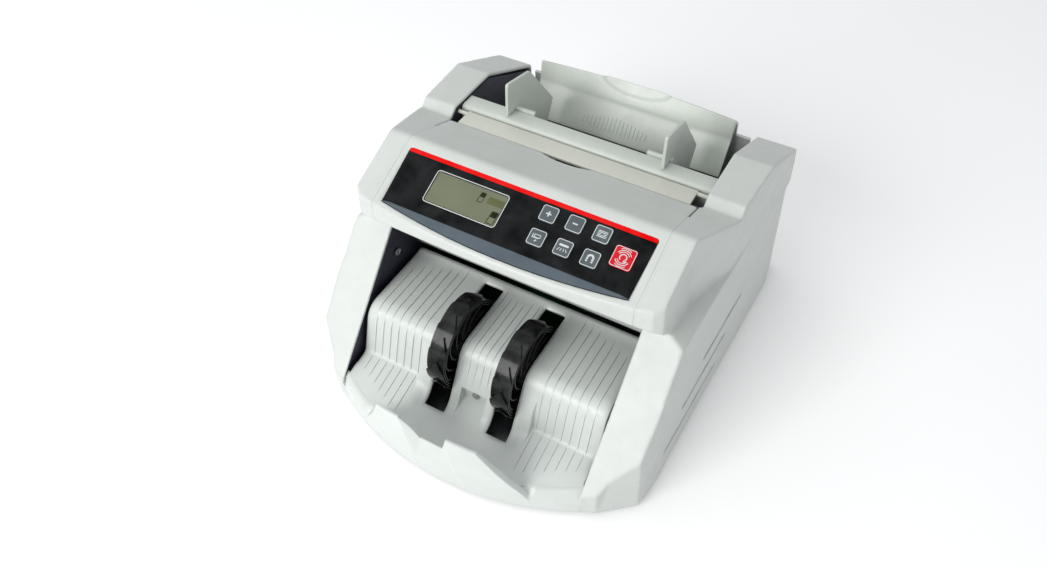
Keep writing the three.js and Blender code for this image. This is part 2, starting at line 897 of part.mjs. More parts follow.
// ---- base and electrics
function bottomPlate() {
  const plan = inset(lowerPlan(UNDERSIDE), 4.8);
  return prismZ(plan, 3.4, 5.8).intersect(block(-130, 130, -110.5, 170, 0, 10));
}

const FEET = [
  ["foot_front_left", -84, -72],
  ["foot_front_right", 84, -72],
  ["foot_rear_left", -98, 150],
  ["foot_rear_right", 98, 150],
];

function mainBoard() {
  const board = block(-70, 20, -40, 50, 12, 13.6);
  const parts = [
    block(-50, -32, -10, 8, 13, 16.4),
    block(-16, -4, -20, 2, 13, 16),
    block(-66, -40, 34, 44, 13, 22),
    block(-20, 10, 34, 44, 13, 20),
    rodZ(5, 13, 26, 8, 6, 16),
    rodZ(5, 13, 26, 8, -10, 16),
  ];
  const posts = [
    [-64, -34],
    [14, -34],
    [-64, 28],
    [14, 28],
  ].map(([x, y]) => rodZ(3, 6.2, 12.4, x, y, 12));
  return [...parts, ...posts].reduce((all, part) => all.add(part), board);
}

function transformer() {
  const core = block(28, 76, 96, 140, 6.2, 44);
  const coil = block(34, 70, 90, 146, 12, 38);
  return core.add(coil);
}

function uvLamp() {
  return rodX(4, -70, 70, [84, 70], 16)
    .add(rodX(5.2, -76, -70, [84, 70], 16))
    .add(rodX(5.2, 70, 76, [84, 70], 16));
}

function paperGuide() {
  const outline = rounded([
    [9.6, 61],
    [18, 63.5, 4],
    [48, 63.5, 6],
    [104, 60, 10],
    [134, 76],
    [133, 77.6],
    [103.4, 62, 10],
    [48, 65.5, 6],
    [17, 65.5, 4],
    [9, 63],
  ]);
  return prismX(outline, -88, 88);
}

// The dark apron above the exit, behind the undercut of the head.
function exitApron() {
  const outline = rounded([
    [-16.5, 110],
    [-14.2, 110.6],
    [4, 82, 4],
    [13, 77],
    [12, 75],
    [2, 80, 4],
  ]);
  return prismX(outline, -89.4, 89.4);
}

function sensorBar() {
  const heads = [-52, -26, 26, 52].map((x) => block(x - 8, x + 8, 54, 66, 67.6, 78.5));
  return heads.reduce((all, head) => all.add(head), block(-88, 88, 57, 63, 78, 82));
}

// ---- the machine
const machine = new THREE.Group();
machine.position.y = -ORIGIN_Y;

const add = (name, body, material) => machine.add(piece(name, body, material));
const addPair = (stem, body, material) => {
  add(`${stem}_right`, body, material);
  add(`${stem}_left`, mirrored(body), material);
};

addPair("side_cover", sideCover().subtract(ventCuts()), WHITE);
add("front_cover", frontCover(), WHITE);
add("stacker_tray", stackerTray(), WHITE);
add("back_cover", backCover(), WHITE);
add("bottom_plate", bottomPlate(), STEEL);
for (const [name, x, y] of FEET) add(name, rodZ(8, 0, 3.1, x, y, 24), RUBBER);

addPair("frame_plate", framePlate(), NAVY);
add("tie_rod_front", tieRod(22, 112), STEEL);
add("tie_rod_rear", tieRod(156, 12), STEEL);
add("exit_apron", exitApron(), DARK);
add("paper_guide", paperGuide(), STEEL);

// Control panel, on its sloping plane.
const panel = new THREE.Group();
panel.position.z = PANEL_TOP_Z;
panel.rotation.x = PANEL_SLOPE;
panel.add(piece("membrane_film", membraneFilm(), FILM));
panel.add(piece("display_module", displayModule(), GLASS));
panel.add(piece("display_board", displayBoard(), BOARD));
for (const key of KEYS) {
  const colour = key[0] === "key_restart" ? RED : KEYCAP;
  panel.add(piece(key[0], keycap(key), colour));
}
machine.add(panel);

// Stacker drive.
add("stacker_shaft", shaft(4, -94, 106, WHEEL_AXIS).add(pulley(10, 100, 106, WHEEL_AXIS)), STEEL);
add("stacker_wheel_right", stackerWheel(WHEEL_X), BLACK);
add("stacker_wheel_left", stackerWheel(-WHEEL_X), BLACK);
add("exit_shaft", shaft(3, -94, 106, EXIT_AXIS).add(pulley(5, 93, 106, EXIT_AXIS)), STEEL);

// Transport and feed.
add("transport_shaft", shaft(4, -94, 94, TRANSPORT_AXIS), STEEL);
for (const [place, x] of [["right", 45], ["left", -45]]) {
  const tyre = roller(ROLLER.transport, 4.3, x, 20, TRANSPORT_AXIS);
  add(`transport_roller_${place}`, tyre, RUBBER);
}
add("feed_shaft", shaft(4, -106, 94, FEED_AXIS).add(pulley(10, -106, -100, FEED_AXIS)), STEEL);
for (const [place, x] of [["right", 28], ["left", -28]]) {
  add(`feed_roller_${place}`, roller(ROLLER.feed, 4.3, x, 16, FEED_AXIS), RUBBER);
}
add("main_motor", motor(MAIN_MOTOR_AXIS, 52, PLATE_X + 1.2), DARK);
add("main_motor_pulley", motorPulley(93, MAIN_MOTOR_AXIS), DARK);
add("feed_motor", mirrored(motor(FEED_MOTOR_AXIS, 52, PLATE_X + 1.2)), DARK);
add("feed_motor_pulley", mirrored(motorPulley(100, FEED_MOTOR_AXIS)), DARK);
add("main_belt", belt(EXIT_AXIS, 5, MAIN_MOTOR_AXIS, 6, 94.4, 97.6), RUBBER);
add("stacker_belt", belt(WHEEL_AXIS, 10, EXIT_AXIS, 5, 101.4, 104.6), RUBBER);
add("feed_belt", belt(FEED_AXIS, 10, FEED_MOTOR_AXIS, 6, -104.6, -101.4), RUBBER);

// Hopper.
add("hopper_floor", hopperFloor(), GREY);
add("hopper_rail", hopperRail(), GREY);
addPair("bill_guide", billGuide(), GREY);
add("feed_flap", flap(), BEIGE);
add("hopper_plate", hopperPlate(), GREY);
add("rear_door", doorShell(), WHITE);
add("gap_knob", gapKnob(), BLACK);

// Electrics.
add("main_board", mainBoard(), BOARD);
add("transformer", transformer(), COPPER);
add("uv_lamp", uvLamp(), GLASS);
add("sensor_bar", sensorBar(), DARK);
add("power_inlet", powerInlet(), BLACK);
add("switch_rocker", switchRocker(), BLACK);

// Screws that show: one in the tray, one high on each frame plate.
const screws = [
  ["screw_tray", [0, -68.1, 33.6], new THREE.Euler(Math.PI / 2, 0, 0)],
  ["screw_plate_right", [PLATE_X - 0.3, -20.6, 79.2], new THREE.Euler(0, -Math.PI / 2, 0)],
  ["screw_plate_left", [-PLATE_X + 0.3, -20.6, 79.2], new THREE.Euler(0, Math.PI / 2, 0)],
];
for (const [name, place, turn] of screws) {
  const screw = piece(name, screwHead(2.6, 1.4), STEEL);
  screw.position.set(...place);
  screw.setRotationFromEuler(turn);
  machine.add(screw);
}

export default machine;
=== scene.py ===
import json
import math

import bmesh
import bpy
from mathutils import Matrix, Vector
from mathutils.bvhtree import BVHTree


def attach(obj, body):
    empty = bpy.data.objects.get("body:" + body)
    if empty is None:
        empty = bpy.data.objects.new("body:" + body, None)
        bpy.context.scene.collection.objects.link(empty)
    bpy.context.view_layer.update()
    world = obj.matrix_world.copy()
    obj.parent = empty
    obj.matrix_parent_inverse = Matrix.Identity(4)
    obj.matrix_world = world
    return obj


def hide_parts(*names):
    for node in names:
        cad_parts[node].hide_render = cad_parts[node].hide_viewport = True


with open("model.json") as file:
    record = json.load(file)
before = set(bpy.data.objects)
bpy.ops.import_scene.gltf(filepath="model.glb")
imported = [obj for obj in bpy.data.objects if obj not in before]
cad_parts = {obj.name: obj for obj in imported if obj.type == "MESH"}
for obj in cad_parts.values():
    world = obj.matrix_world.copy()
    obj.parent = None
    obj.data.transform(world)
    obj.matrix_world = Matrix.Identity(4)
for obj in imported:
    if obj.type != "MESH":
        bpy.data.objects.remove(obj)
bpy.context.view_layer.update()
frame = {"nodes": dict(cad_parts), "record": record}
nodes = frame["nodes"]

# Machine lengths below are in millimetres and angles in degrees, unless a comment says
# otherwise. Y = 0 is the panel's upper edge, and the part's origin lies ORIGIN_Y behind it.
MM = 0.001
ORIGIN_Y = 24.13
PANEL_SLOPE = math.radians(23.8)
PANEL_TOP_Z = 156.6


def at(x, y, z):
    return Vector((x * MM, (y - ORIGIN_Y) * MM, z * MM))


def machine_point(place):
    """The inverse of at()."""
    return (place.x / MM, place.y / MM + ORIGIN_Y, place.z / MM)


def new_object(name, data):
    made = bpy.data.objects.new(name, data)
    bpy.context.scene.collection.objects.link(made)
    return made


def aim(obj, heading):
    obj.rotation_mode = "QUATERNION"
    obj.rotation_quaternion = heading.to_track_quat("-Z", "Y")


# ------------------------------------------------------------------ camera
# Its place and the direction behind it are in the part's frame, in metres.
CAMERA_PLACE = (0.1880, -0.36293, 0.4938)
CAMERA_BACK = Vector((0.33482, -0.59174, 0.73330))

cam_data = bpy.data.cameras.new("camera")
cam_data.lens = 29.86
cam_data.sensor_width = 36
cam_data.clip_start, cam_data.clip_end = 0.01, 20
cam = new_object("camera", cam_data)
cam.location = CAMERA_PLACE
aim(cam, -CAMERA_BACK)
bpy.context.scene.camera = cam


# ------------------------------------------------------------------ materials
def srgb(r, g, b):
    def lin(c):
        c /= 255
        return c / 12.92 if c <= 0.04045 else ((c + 0.055) / 1.055) ** 2.4
    return (lin(r), lin(g), lin(b), 1)


def mixed(a, b, share):
    return tuple(a[i] + (b[i] - a[i]) * share for i in range(3)) + (1,)


def lighter(colour, share):
    return mixed(colour, (1, 1, 1), share)


def darker(colour, share):
    return mixed(colour, (0, 0, 0), share)


# Sockets of the mix node when it mixes colours.
MIX_SHARE, MIX_FIRST, MIX_SECOND, MIX_RESULT = 0, 6, 7, 2


class Nodes:
    """Short names for building one material's node tree."""

    def __init__(self, name):
        self.material = bpy.data.materials.new(name)
        self.material.use_nodes = True
        self.tree = self.material.node_tree
        self.place = self.new("ShaderNodeTexCoord").outputs["Object"]

    def feed(self, sockets, values):
        """Gives each named socket its value, or a link where the value is another socket."""
        for name, value in values.items():
            if isinstance(value, bpy.types.NodeSocket):
                self.tree.links.new(value, sockets[name])
            else:
                sockets[name].default_value = value

    def new(self, kind, inputs=None, **settings):
        node = self.tree.nodes.new(kind)
        for key, value in settings.items():
            setattr(node, key, value)
        self.feed(node.inputs, inputs or {})
        return node

    def noise(self, size_mm, detail=3, roughness=0.55, stretch=(1, 1, 1)):
        scaled = self.new("ShaderNodeMapping", {"Vector": self.place, "Scale": stretch})
        return self.new("ShaderNodeTexNoise", {
            "Vector": scaled.outputs["Vector"], "Scale": 1000 / size_mm,
            "Detail": detail, "Roughness": roughness,
        }).outputs["Fac"]

    def ramp(self, source, *stops):
        """A colour between two stops, each a position on the source and its colour."""
        node = self.new("ShaderNodeValToRGB", {"Fac": source})
        for point, (position, colour) in zip(node.color_ramp.elements, stops):
            point.position = position
            point.color = colour
        return node.outputs["Color"]

    def span(self, noise, low, high):
        """A noise, most of which lies within 0.3 to 0.7, spread over low to high."""
        return self.new("ShaderNodeMapRange", {
            "Value": noise, "From Min": 0.3, "From Max": 0.7, "To Min": low, "To Max": high,
        }).outputs["Result"]

    def bump(self, height, depth_mm, strength, under=None):
        inputs = {"Height": height, "Distance": depth_mm * MM, "Strength": strength}
        if under is not None:
            inputs["Normal"] = under
        return self.new("ShaderNodeBump", inputs).outputs["Normal"]

    def shade(self, **values):
        """Sets the shader's sockets, named with _ for a space, and returns the material."""
        shader = self.tree.nodes["Principled BSDF"]
        self.feed(shader.inputs, {name.replace("_", " "): v for name, v in values.items()})
        return self.material


def moulded(name, colour, rough=0.42, grain_mm=0.55):
    """Injection-moulded plastic: spark-eroded grain, faint flow marks and handling dirt."""
    n = Nodes(name)
    handled = mixed(colour, srgb(120, 118, 108), 0.07)
    flow_marks = n.noise(38, 4, 0.6, (1, 0.6, 1.4))
    flow = n.ramp(flow_marks, (0.35, lighter(colour, 0.02)), (0.68, handled))
    dirt = n.ramp(n.noise(6, 5, 0.65), (0.3, (0.93, 0.93, 0.92, 1)), (0.55, (1, 1, 1, 1)))
    tone = n.new(
        "ShaderNodeMix", {MIX_SHARE: 0.35, MIX_FIRST: flow, MIX_SECOND: dirt},
        data_type="RGBA", blend_type="MULTIPLY",
    )
    grain = n.bump(n.noise(grain_mm, 2, 0.5), 0.02, 0.5)
    return n.shade(
        Base_Color=tone.outputs[MIX_RESULT],
        Roughness=n.span(n.noise(9, 3), rough - 0.05, rough + 0.07),
        Normal=n.bump(n.noise(24, 2), 0.12, 0.35, under=grain),
    )


def painted_steel(name, colour):
    """Powder-coated sheet: orange-peel skin with a fine sparkle of lighter specks."""
    n = Nodes(name)
    return n.shade(
        Base_Color=n.ramp(n.noise(0.5, 2), (0.6, colour), (0.72, lighter(colour, 0.12))),
        Metallic=0.1,
        Roughness=n.span(n.noise(5, 3), 0.42, 0.58),
        Normal=n.bump(n.noise(1.2, 3), 0.06, 0.5),
    )


def bare_steel(name, colour, rough=0.25, stretch=(0.02, 1, 1)):
    """Turned or drawn steel: fine lines along or round the piece, with light stains."""
    n = Nodes(name)
    lines = n.noise(0.35, 3, 0.6, stretch)
    return n.shade(
        Base_Color=n.ramp(n.noise(7, 4), (0.3, darker(colour, 0.14)), (0.6, colour)),
        Metallic=1.0,
        Roughness=n.span(lines, rough - 0.08, rough + 0.14),
        Normal=n.bump(lines, 0.012, 0.5),
    )


def rubber(name, colour):
    n = Nodes(name)
    return n.shade(
        Base_Color=n.ramp(n.noise(3, 4), (0.3, colour), (0.7, lighter(colour, 0.05))),
        Roughness=n.span(n.noise(2, 3), 0.68, 0.9),
        Normal=n.bump(n.noise(0.4, 3), 0.04, 0.7),
    )


def printed(name, colour, rough=0.3, grain_depth=0.006):
    """Screen print behind a satin polycarbonate film."""
    n = Nodes(name)
    low, high = (0.3, darker(colour, 0.06)), (0.7, lighter(colour, 0.015))
    return n.shade(
        Base_Color=n.ramp(n.noise(12, 4), low, high),
        Roughness=n.span(n.noise(4, 3), rough - 0.05, rough + 0.08),
        Normal=n.bump(n.noise(0.25, 2), grain_depth, 0.6),
        Specular_IOR_Level=0.04,
    )


def glossy(name, colour, rough):
    """Polished moulding with smears and hairline scratches."""
    n = Nodes(name)
    scratch = n.noise(1.2, 2, 0.5, (6, 0.15, 1))
    return n.shade(
        Base_Color=n.ramp(n.noise(8, 4), (0.3, colour), (0.75, lighter(colour, 0.03))),
        Roughness=n.span(scratch, rough - 0.05, rough + 0.14),
        Normal=n.bump(scratch, 0.01, 0.4),
        Specular_IOR_Level=0.22,
    )


def liquid_crystal(name):
    n = Nodes(name)
    return n.shade(
        Base_Color=n.ramp(n.noise(26, 2), (0.25, srgb(80, 86, 56)), (0.75, srgb(94, 100, 68))),
        Roughness=n.span(n.noise(6, 2), 0.2, 0.3),
        Normal=n.bump(n.noise(0.3, 2), 0.004, 0.5),
        Coat_Weight=0.6,
        Coat_Roughness=0.08,
    )


def circuit(name):
    """Solder-masked board: tracks as a darker grid under the lacquer."""
    n = Nodes(name)
    brick = n.new("ShaderNodeTexBrick", {
        "Vector": n.place, "Scale": 260, "Mortar Size": 0.03, "Color1": srgb(20, 92, 52),
        "Color2": srgb(16, 80, 46), "Mortar": srgb(60, 130, 84),
    })
    return n.shade(
        Base_Color=brick.outputs["Color"],
        Roughness=n.span(n.noise(5, 3), 0.25, 0.4),
        Normal=n.bump(brick.outputs["Fac"], 0.03, 0.6),
    )


def windings(name):
    """Copper wire, wound in even turns."""
    n = Nodes(name)
    turns = n.new("ShaderNodeTexWave", {"Vector": n.place, "Scale": 600}).outputs["Fac"]
    return n.shade(
        Base_Color=n.ramp(turns, (0.2, srgb(96, 50, 26)), (0.7, srgb(184, 112, 62))),
        Metallic=0.7,
        Roughness=n.span(n.noise(3, 3), 0.3, 0.5),
        Normal=n.bump(turns, 0.2, 0.8),
    )


WHITE = moulded("cover_plastic", srgb(200, 204, 200), 0.42)
TRAY = moulded("tray_plastic", srgb(204, 209, 205), 0.36, 0.5)
GREY = moulded("hopper_plastic", srgb(196, 202, 194), 0.34, 0.5)
BEIGE = moulded("flap_plastic", srgb(203, 204, 192), 0.42, 0.45)
# The steel exit shaft gets a pale matte colour: a painted reflection of the bright surroundings, in
# place of chrome that lies in shade.
SHAFT_REFLECTION_PALE = moulded("exit_shaft_painted_reflection", srgb(176, 178, 176), 0.3)
DARK = moulded("dark_plastic", srgb(28, 30, 33), 0.5)
NAVY = painted_steel("navy_enamel", srgb(40, 40, 58))
BLACK = glossy("black_gloss_plastic", srgb(7, 8, 8), 0.12)
RUBBER = rubber("rubber", srgb(24, 24, 24))
STEEL = bare_steel("steel", srgb(186, 188, 190))
ZINC = bare_steel("zinc_sheet", srgb(168, 172, 176), 0.36, (1, 0.05, 1))
FILM = printed("print_black", srgb(10, 13, 14), 0.3)
RED = printed("print_red", srgb(226, 4, 1), 0.36)
SLATE = printed("print_slate", srgb(84, 94, 102), 0.34)
PALE = printed("print_pale", srgb(206, 210, 208), 0.4)
KEY_GREY = printed("key_grey", srgb(86, 95, 99), 0.4, 0.02)
KEY_RED = printed("key_red", srgb(205, 26, 42), 0.4, 0.02)
SEGMENT = printed("segments", srgb(58, 62, 38), 0.3)
SEGMENT_FIELD = printed("segment_field", srgb(92, 96, 62), 0.3)
LCD = liquid_crystal("liquid_crystal")
BOARD = circuit("circuit_board")
COIL = windings("windings")

SLOT_MATERIAL = {
    "white_plastic": WHITE, "grey_plastic": GREY, "beige_plastic": BEIGE,
    "navy_steel": NAVY, "black_gloss": BLACK, "dark_plastic": DARK, "rubber": RUBBER,
    "steel": STEEL, "film": FILM, "display": LCD, "keycap": KEY_GREY,
    "red_key": KEY_RED, "board": BOARD, "winding": COIL,
}
# exit_shaft is steel; its pale matte colour is a painted reflection.
NODE_MATERIAL = {"bottom_plate": ZINC, "paper_guide": ZINC, "exit_shaft": SHAFT_REFLECTION_PALE}

for part in frame["record"]["subparts"]:
    materials = nodes[part["node"]].data.materials
    materials.clear()
    materials.append(NODE_MATERIAL.get(part["node"], SLOT_MATERIAL[part["material_slot"]]))


# ------------------------------------------------------------------ modifiers on CAD nodes
COVER_VOXEL = 0.8


def soft_moulding(name, rounds):
    """A moulded cover: even skin with every edge softened."""
    node = nodes[name]
    skin = node.modifiers.new("skin", "REMESH")
    skin.mode = "VOXEL"
    skin.voxel_size = COVER_VOXEL * MM
    skin.use_smooth_shade = True
    ease = node.modifiers.new("ease", "SMOOTH")
    ease.factor = 0.5
    ease.iterations = rounds


def round_edges(obj, width, least_angle, steps):
    bevel = obj.modifiers.new("edges", "BEVEL")
    bevel.width = width * MM
    bevel.segments = steps
    bevel.limit_method = "ANGLE"
    bevel.angle_limit = math.radians(least_angle)


def thicken(obj, thickness, offset):
    wall = obj.modifiers.new("wall", "SOLIDIFY")
    wall.thickness = thickness * MM
    wall.offset = offset


def shade_smooth(mesh, sharp_angle):
    for face in mesh.polygons:
        face.use_smooth = True
    mesh.set_sharp_from_angle(angle=math.radians(sharp_angle))


def eased(name, width):
    """Small machined or moulded pieces: a fine round on each sharp edge."""
    weld = nodes[name].modifiers.new("weld", "WELD")
    weld.merge_threshold = 0.02 * MM
    round_edges(nodes[name], width, 28, 2)
    shade_smooth(nodes[name].data, 30)


for name, rounds in (("side_cover_right", 12), ("side_cover_left", 12), ("front_cover", 8)):
    soft_moulding(name, rounds)

# The width of the round on the edges of each piece.
EDGE_WIDTHS = {
    0.12: ("screw_tray", "screw_plate_right", "screw_plate_left"),
    0.2: ("paper_guide", "main_board", "display_board", "main_belt", "stacker_belt", "feed_belt"),
    0.25: ("frame_plate_right", "frame_plate_left"),
    0.3: ("hopper_floor", "exit_apron", "power_inlet", "bottom_plate", "stacker_shaft",
          "exit_shaft", "feed_shaft", "transport_shaft", "main_motor_pulley",
          "feed_motor_pulley"),
    0.4: ("back_cover", "feed_flap", "switch_rocker", "sensor_bar", "uv_lamp",
          "tie_rod_front", "tie_rod_rear"),
    0.5: ("rear_door", "hopper_rail", "bill_guide_right", "bill_guide_left", "gap_knob",
          "foot_front_left", "foot_front_right", "foot_rear_left", "foot_rear_right",
          "transformer"),
    0.6: ("main_motor", "feed_motor", "feed_roller_right", "feed_roller_left",
          "transport_roller_right", "transport_roller_left"),
}
for width, names in EDGE_WIDTHS.items():
    for name in names:
        eased(name, width)


# ------------------------------------------------------------------ mesh helpers
def finish_mesh(name, mesh, material, body, replaced=(), sharp=35):
    shade_smooth(mesh, sharp)
    mesh.materials.clear()
    mesh.materials.append(material)
    obj = new_object(name, mesh)
    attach(obj, body)
    if replaced:
        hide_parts(*replaced)
    return obj


def mesh_from(bm, name):
    """Turns a bmesh into a mesh whose faces look outwards."""
    bmesh.ops.recalc_face_normals(bm, faces=bm.faces)
    mesh = bpy.data.meshes.new(name)
    bm.to_mesh(mesh)
    bm.free()
    return mesh


def grid_mesh(name, rows, keep=None):
    """A mesh through rows of points; keep(i, j) says which cells stay."""
    bm = bmesh.new()
    made = [[bm.verts.new(at(*point)) for point in row] for row in rows]
    for i, (a, b) in enumerate(zip(made, made[1:])):
        for j in range(len(a) - 1):
            if keep is None or keep(i, j):
                bm.faces.new((a[j], a[j + 1], b[j + 1], b[j]))
    loose = [v for v in bm.verts if not v.link_faces]
    bmesh.ops.delete(bm, geom=loose, context="VERTS")
    bmesh.ops.remove_doubles(bm, verts=bm.verts, dist=1e-6)
    return mesh_from(bm, name)


def tubes_mesh(name, tubes):
    """Closed tubes, each through a list of cross-sections with the same number of points."""
    bm = bmesh.new()
    for sections in tubes:
        rings = [[bm.verts.new(at(*point)) for point in section] for section in sections]
        for a, b in zip(rings, rings[1:]):
            for k in range(len(a)):
                n = (k + 1) % len(a)
                bm.faces.new((a[k], a[n], b[n], b[k]))
        bm.faces.new(rings[0])
        bm.faces.new(rings[-1])
    return mesh_from(bm, name)


def plate_mesh(name, outlines, depth, bevel, place, bevel_steps=2):
    """Flat outlines (holes allowed) as one plate with rounded edges.
    Its thickness runs from -depth to 0 along the local Z of place."""
    curve = bpy.data.curves.new(name, "CURVE")
    curve.dimensions = "2D"
    curve.fill_mode = "BOTH"
    for outline in outlines:
        spline = curve.splines.new("POLY")
        spline.points.add(len(outline) - 1)
        for point, (u, v) in zip(spline.points, outline):
            point.co = (u, v, 0, 1)
        spline.use_cyclic_u = True
    curve.extrude = max(depth / 2 - bevel, 0.001)
    curve.bevel_depth = bevel
    curve.bevel_resolution = bevel_steps
    curve.offset = -bevel
    holder = new_object(name, curve)
    bpy.context.view_layer.update()
    shown = holder.evaluated_get(bpy.context.evaluated_depsgraph_get())
    mesh = bpy.data.meshes.new_from_object(shown)
    bpy.data.objects.remove(holder)
    bpy.data.curves.remove(curve)
    mesh.transform(Matrix.Translation((0, 0, -depth / 2)))
    mesh.transform(place)
    bm = bmesh.new()
    bm.from_mesh(mesh)
    bmesh.ops.remove_doubles(bm, verts=bm.verts, dist=1e-7)
    bm.to_mesh(mesh)
    bm.free()
    return mesh


def clamp(t):
    return min(1.0, max(0.0, t))


def smooth(t):
    t = clamp(t)
    return t * t * (3 - 2 * t)


def lerp(a, b, t):
    return a + (b - a) * t


def spaced(start, end, count):
    """Evenly spaced values from start to end, in count steps."""
    return [lerp(start, end, i / count) for i in range(count + 1)]


def mixed_point(a, b, t):
    return (lerp(a[0], b[0], t), lerp(a[1], b[1], t))


def line_points(a, b, count):
    """Points on a straight line, without its end b."""
    return [mixed_point(a, b, i / count) for i in range(count)]


def bend_points(a, corner, b, count):
    """Points on a curve from a towards corner and round to b, without b."""
    made = []
    for i in range(count):
        t = i / count
        made.append(mixed_point(mixed_point(a, corner, t), mixed_point(corner, b, t), t))
    return made


def arc(cx, cy, radius, start, end, steps):
    turns = [math.radians(angle) for angle in spaced(start, end, steps)]
    return [(cx + radius * math.cos(a), cy + radius * math.sin(a)) for a in turns]


def round_rect(x, y, width, height, radius):
    a, b = width / 2 - radius, height / 2 - radius
    corners = ((a, -b), (a, b), (-a, b), (-a, -b))
    made = []
    for k, (dx, dy) in enumerate(corners):
        made += arc(x + dx, y + dy, radius, 90 * (k - 1), 90 * k, 5)
    return made


def bar(x0, y0, x1, y1, width):
    """A straight stroke between two points, as an outline."""
    dx, dy = x1 - x0, y1 - y0
    size = math.hypot(dx, dy)
    nx, ny = -dy / size * width / 2, dx / size * width / 2
    return [(x0 - nx, y0 - ny), (x1 - nx, y1 - ny), (x1 + nx, y1 + ny), (x0 + nx, y0 + ny)]


def ring_sector(cx, cy, inner, outer, start, end, steps=16):
    return arc(cx, cy, outer, start, end, steps) + arc(cx, cy, inner, end, start, steps)


# ------------------------------------------------------------------ cover seams
# The covers meet flush: a narrow strip lies in each seam and leaves only a hairline. Its
# section lists each point's X and how far it stands off the line from cover to cover.
SEAM_X = 88.0
SEAM_LOW, SEAM_HIGH = 85.7, 90.3
SEAM_SECTION = [
    (SEAM_LOW, -0.3), (86.4, -0.03), (87.2, -0.02), (87.86, -0.05), (SEAM_X, -0.3),
    (88.14, -0.05), (88.8, -0.02), (89.6, -0.03), (SEAM_HIGH, -0.3),
]
# The strip is found by looking from the eye line, inside the head, in each direction from
# the underside of the eave over the top to the rear.
SEAM_EYE_Y, SEAM_EYE_Z = -8, 132
SEAM_FIRST, SEAM_LAST, SEAM_STEPS = 205, 23.5, 320
SEAM_SIGHT = 200
SEAM_WIDEST = 5.8


def outer_point(tree, x, ray):
    """Where the outside of a cover lies in one direction from the eye line, or None."""
    eye = at(x, SEAM_EYE_Y, SEAM_EYE_Z)
    return tree.ray_cast(eye + ray * SEAM_SIGHT * MM, -ray, SEAM_SIGHT * MM)[0]


def seam_rows(side, front_tree, side_tree):
    rows = []
    for degrees in spaced(SEAM_FIRST, SEAM_LAST, SEAM_STEPS):
        angle = math.radians(degrees)
        ray = Vector((0, math.cos(angle), math.sin(angle)))
        low = outer_point(front_tree, side * SEAM_LOW, ray)
        high = outer_point(side_tree, side * SEAM_HIGH, ray)
        if low is None or high is None or (low - high).length > SEAM_WIDEST * MM:
            continue
        rows.append([
            machine_point(low.lerp(high, (x - SEAM_LOW) / (SEAM_HIGH - SEAM_LOW)) + ray * rise * MM)
            for x, rise in SEAM_SECTION
        ])
    return rows


def seam_strip(side, label):
    depsgraph = bpy.context.evaluated_depsgraph_get()
    covers = ("front_cover", f"side_cover_{label}")
    trees = [BVHTree.FromObject(nodes[cover], depsgraph) for cover in covers]
    name = f"cover_seam_{label}"
    mesh = grid_mesh(name, seam_rows(side, *trees))
    thicken(finish_mesh(name, mesh, WHITE, "machine"), 0.5, -1)


bpy.context.view_layer.update()
seam_strip(1, "right")
seam_strip(-1, "left")


# ------------------------------------------------------------------ control panel
# On the panel x runs across and y runs level, so slope(y) is the distance along its face.
def slope(y):
    return y / math.cos(PANEL_SLOPE)


def panel_place(lift=0.0):
    """Local x across, y up the slope, z off the panel, in millimetres."""
    return (
        Matrix.Translation(at(0, 0, PANEL_TOP_Z))
        @ Matrix.Rotation(PANEL_SLOPE, 4, "X")
        @ Matrix.Scale(MM, 4)
        @ Matrix.Translation((0, 0, lift))
    )


def panel_piece(name, outlines, size, lift, material, body, replaced=()):
    """A plate on the panel; size is its thickness and the round on its edges."""
    mesh = plate_mesh(name, outlines, *size, panel_place(lift))
    finish_mesh(name, mesh, material, body, replaced)


KEY_SIZE = 10.5
UPPER_Y, LOWER_Y = -8.9, -23.6
KEY_XS = (18.35, 35.5, 52.65)
KEYS = {
    "key_plus": (KEY_XS[0], UPPER_Y, KEY_SIZE),
    "key_minus": (KEY_XS[1], UPPER_Y, KEY_SIZE),
    "key_batch": (KEY_XS[2], UPPER_Y, KEY_SIZE),
    "key_add": (KEY_XS[0], LOWER_Y, KEY_SIZE),
    "key_lamp_check": (KEY_XS[1], LOWER_Y, KEY_SIZE),
    "key_magnet_check": (KEY_XS[2], LOWER_Y, KEY_SIZE),
    "key_restart": (69.6, -16.8, 13.2),
}
FILM_SIDE, FILM_TOP, FILM_CORNER = 83.6, -0.2, 2
FILM_LOW_END, FILM_LOW_MIDDLE = -36.4, -42.8
FILM_COLUMNS = 28
CRESCENT_TOP = -35.4
STRIPE_LOW = -3.0
LCD_X, LCD_UP = -33.5, slope(-17.3)
LCD_WIDTH, LCD_HEIGHT, LCD_CORNER = 49.4, 21.3, 1.6
PRINT, PRINT_LIFT = (0.06, 0.01), 0.055


def film_low(x):
    """The film's lower edge, bowed downwards in the middle."""
    return slope(lerp(FILM_LOW_MIDDLE, FILM_LOW_END, (x / FILM_SIDE) ** 2))


def film_columns(inset):
    return spaced(inset - FILM_SIDE, FILM_SIDE - inset, FILM_COLUMNS)


def film_outline():
    corner_x, corner_y = FILM_SIDE - FILM_CORNER, FILM_TOP - FILM_CORNER
    left = arc(-corner_x, corner_y, FILM_CORNER, 90, 180, 6)
    right = arc(corner_x, corner_y, FILM_CORNER, 0, 90, 6)
    return left + [(x, film_low(x)) for x in film_columns(1.2)] + right


def key_window(name, grow):
    x, y, size = KEYS[name]
    return round_rect(x, slope(y), size + grow, size + grow, 1.8 + grow / 2)


def lcd_window(grow):
    width, height, corner = LCD_WIDTH + grow, LCD_HEIGHT + grow, LCD_CORNER + grow / 2
    return round_rect(LCD_X, LCD_UP, width, height, corner)


windows = [key_window(name, 0.5) for name in KEYS] + [lcd_window(0)]
panel_piece(
    "membrane", [film_outline()] + windows, (0.6, 0.08), 0,
    FILM, "machine", ["membrane_film"],
)

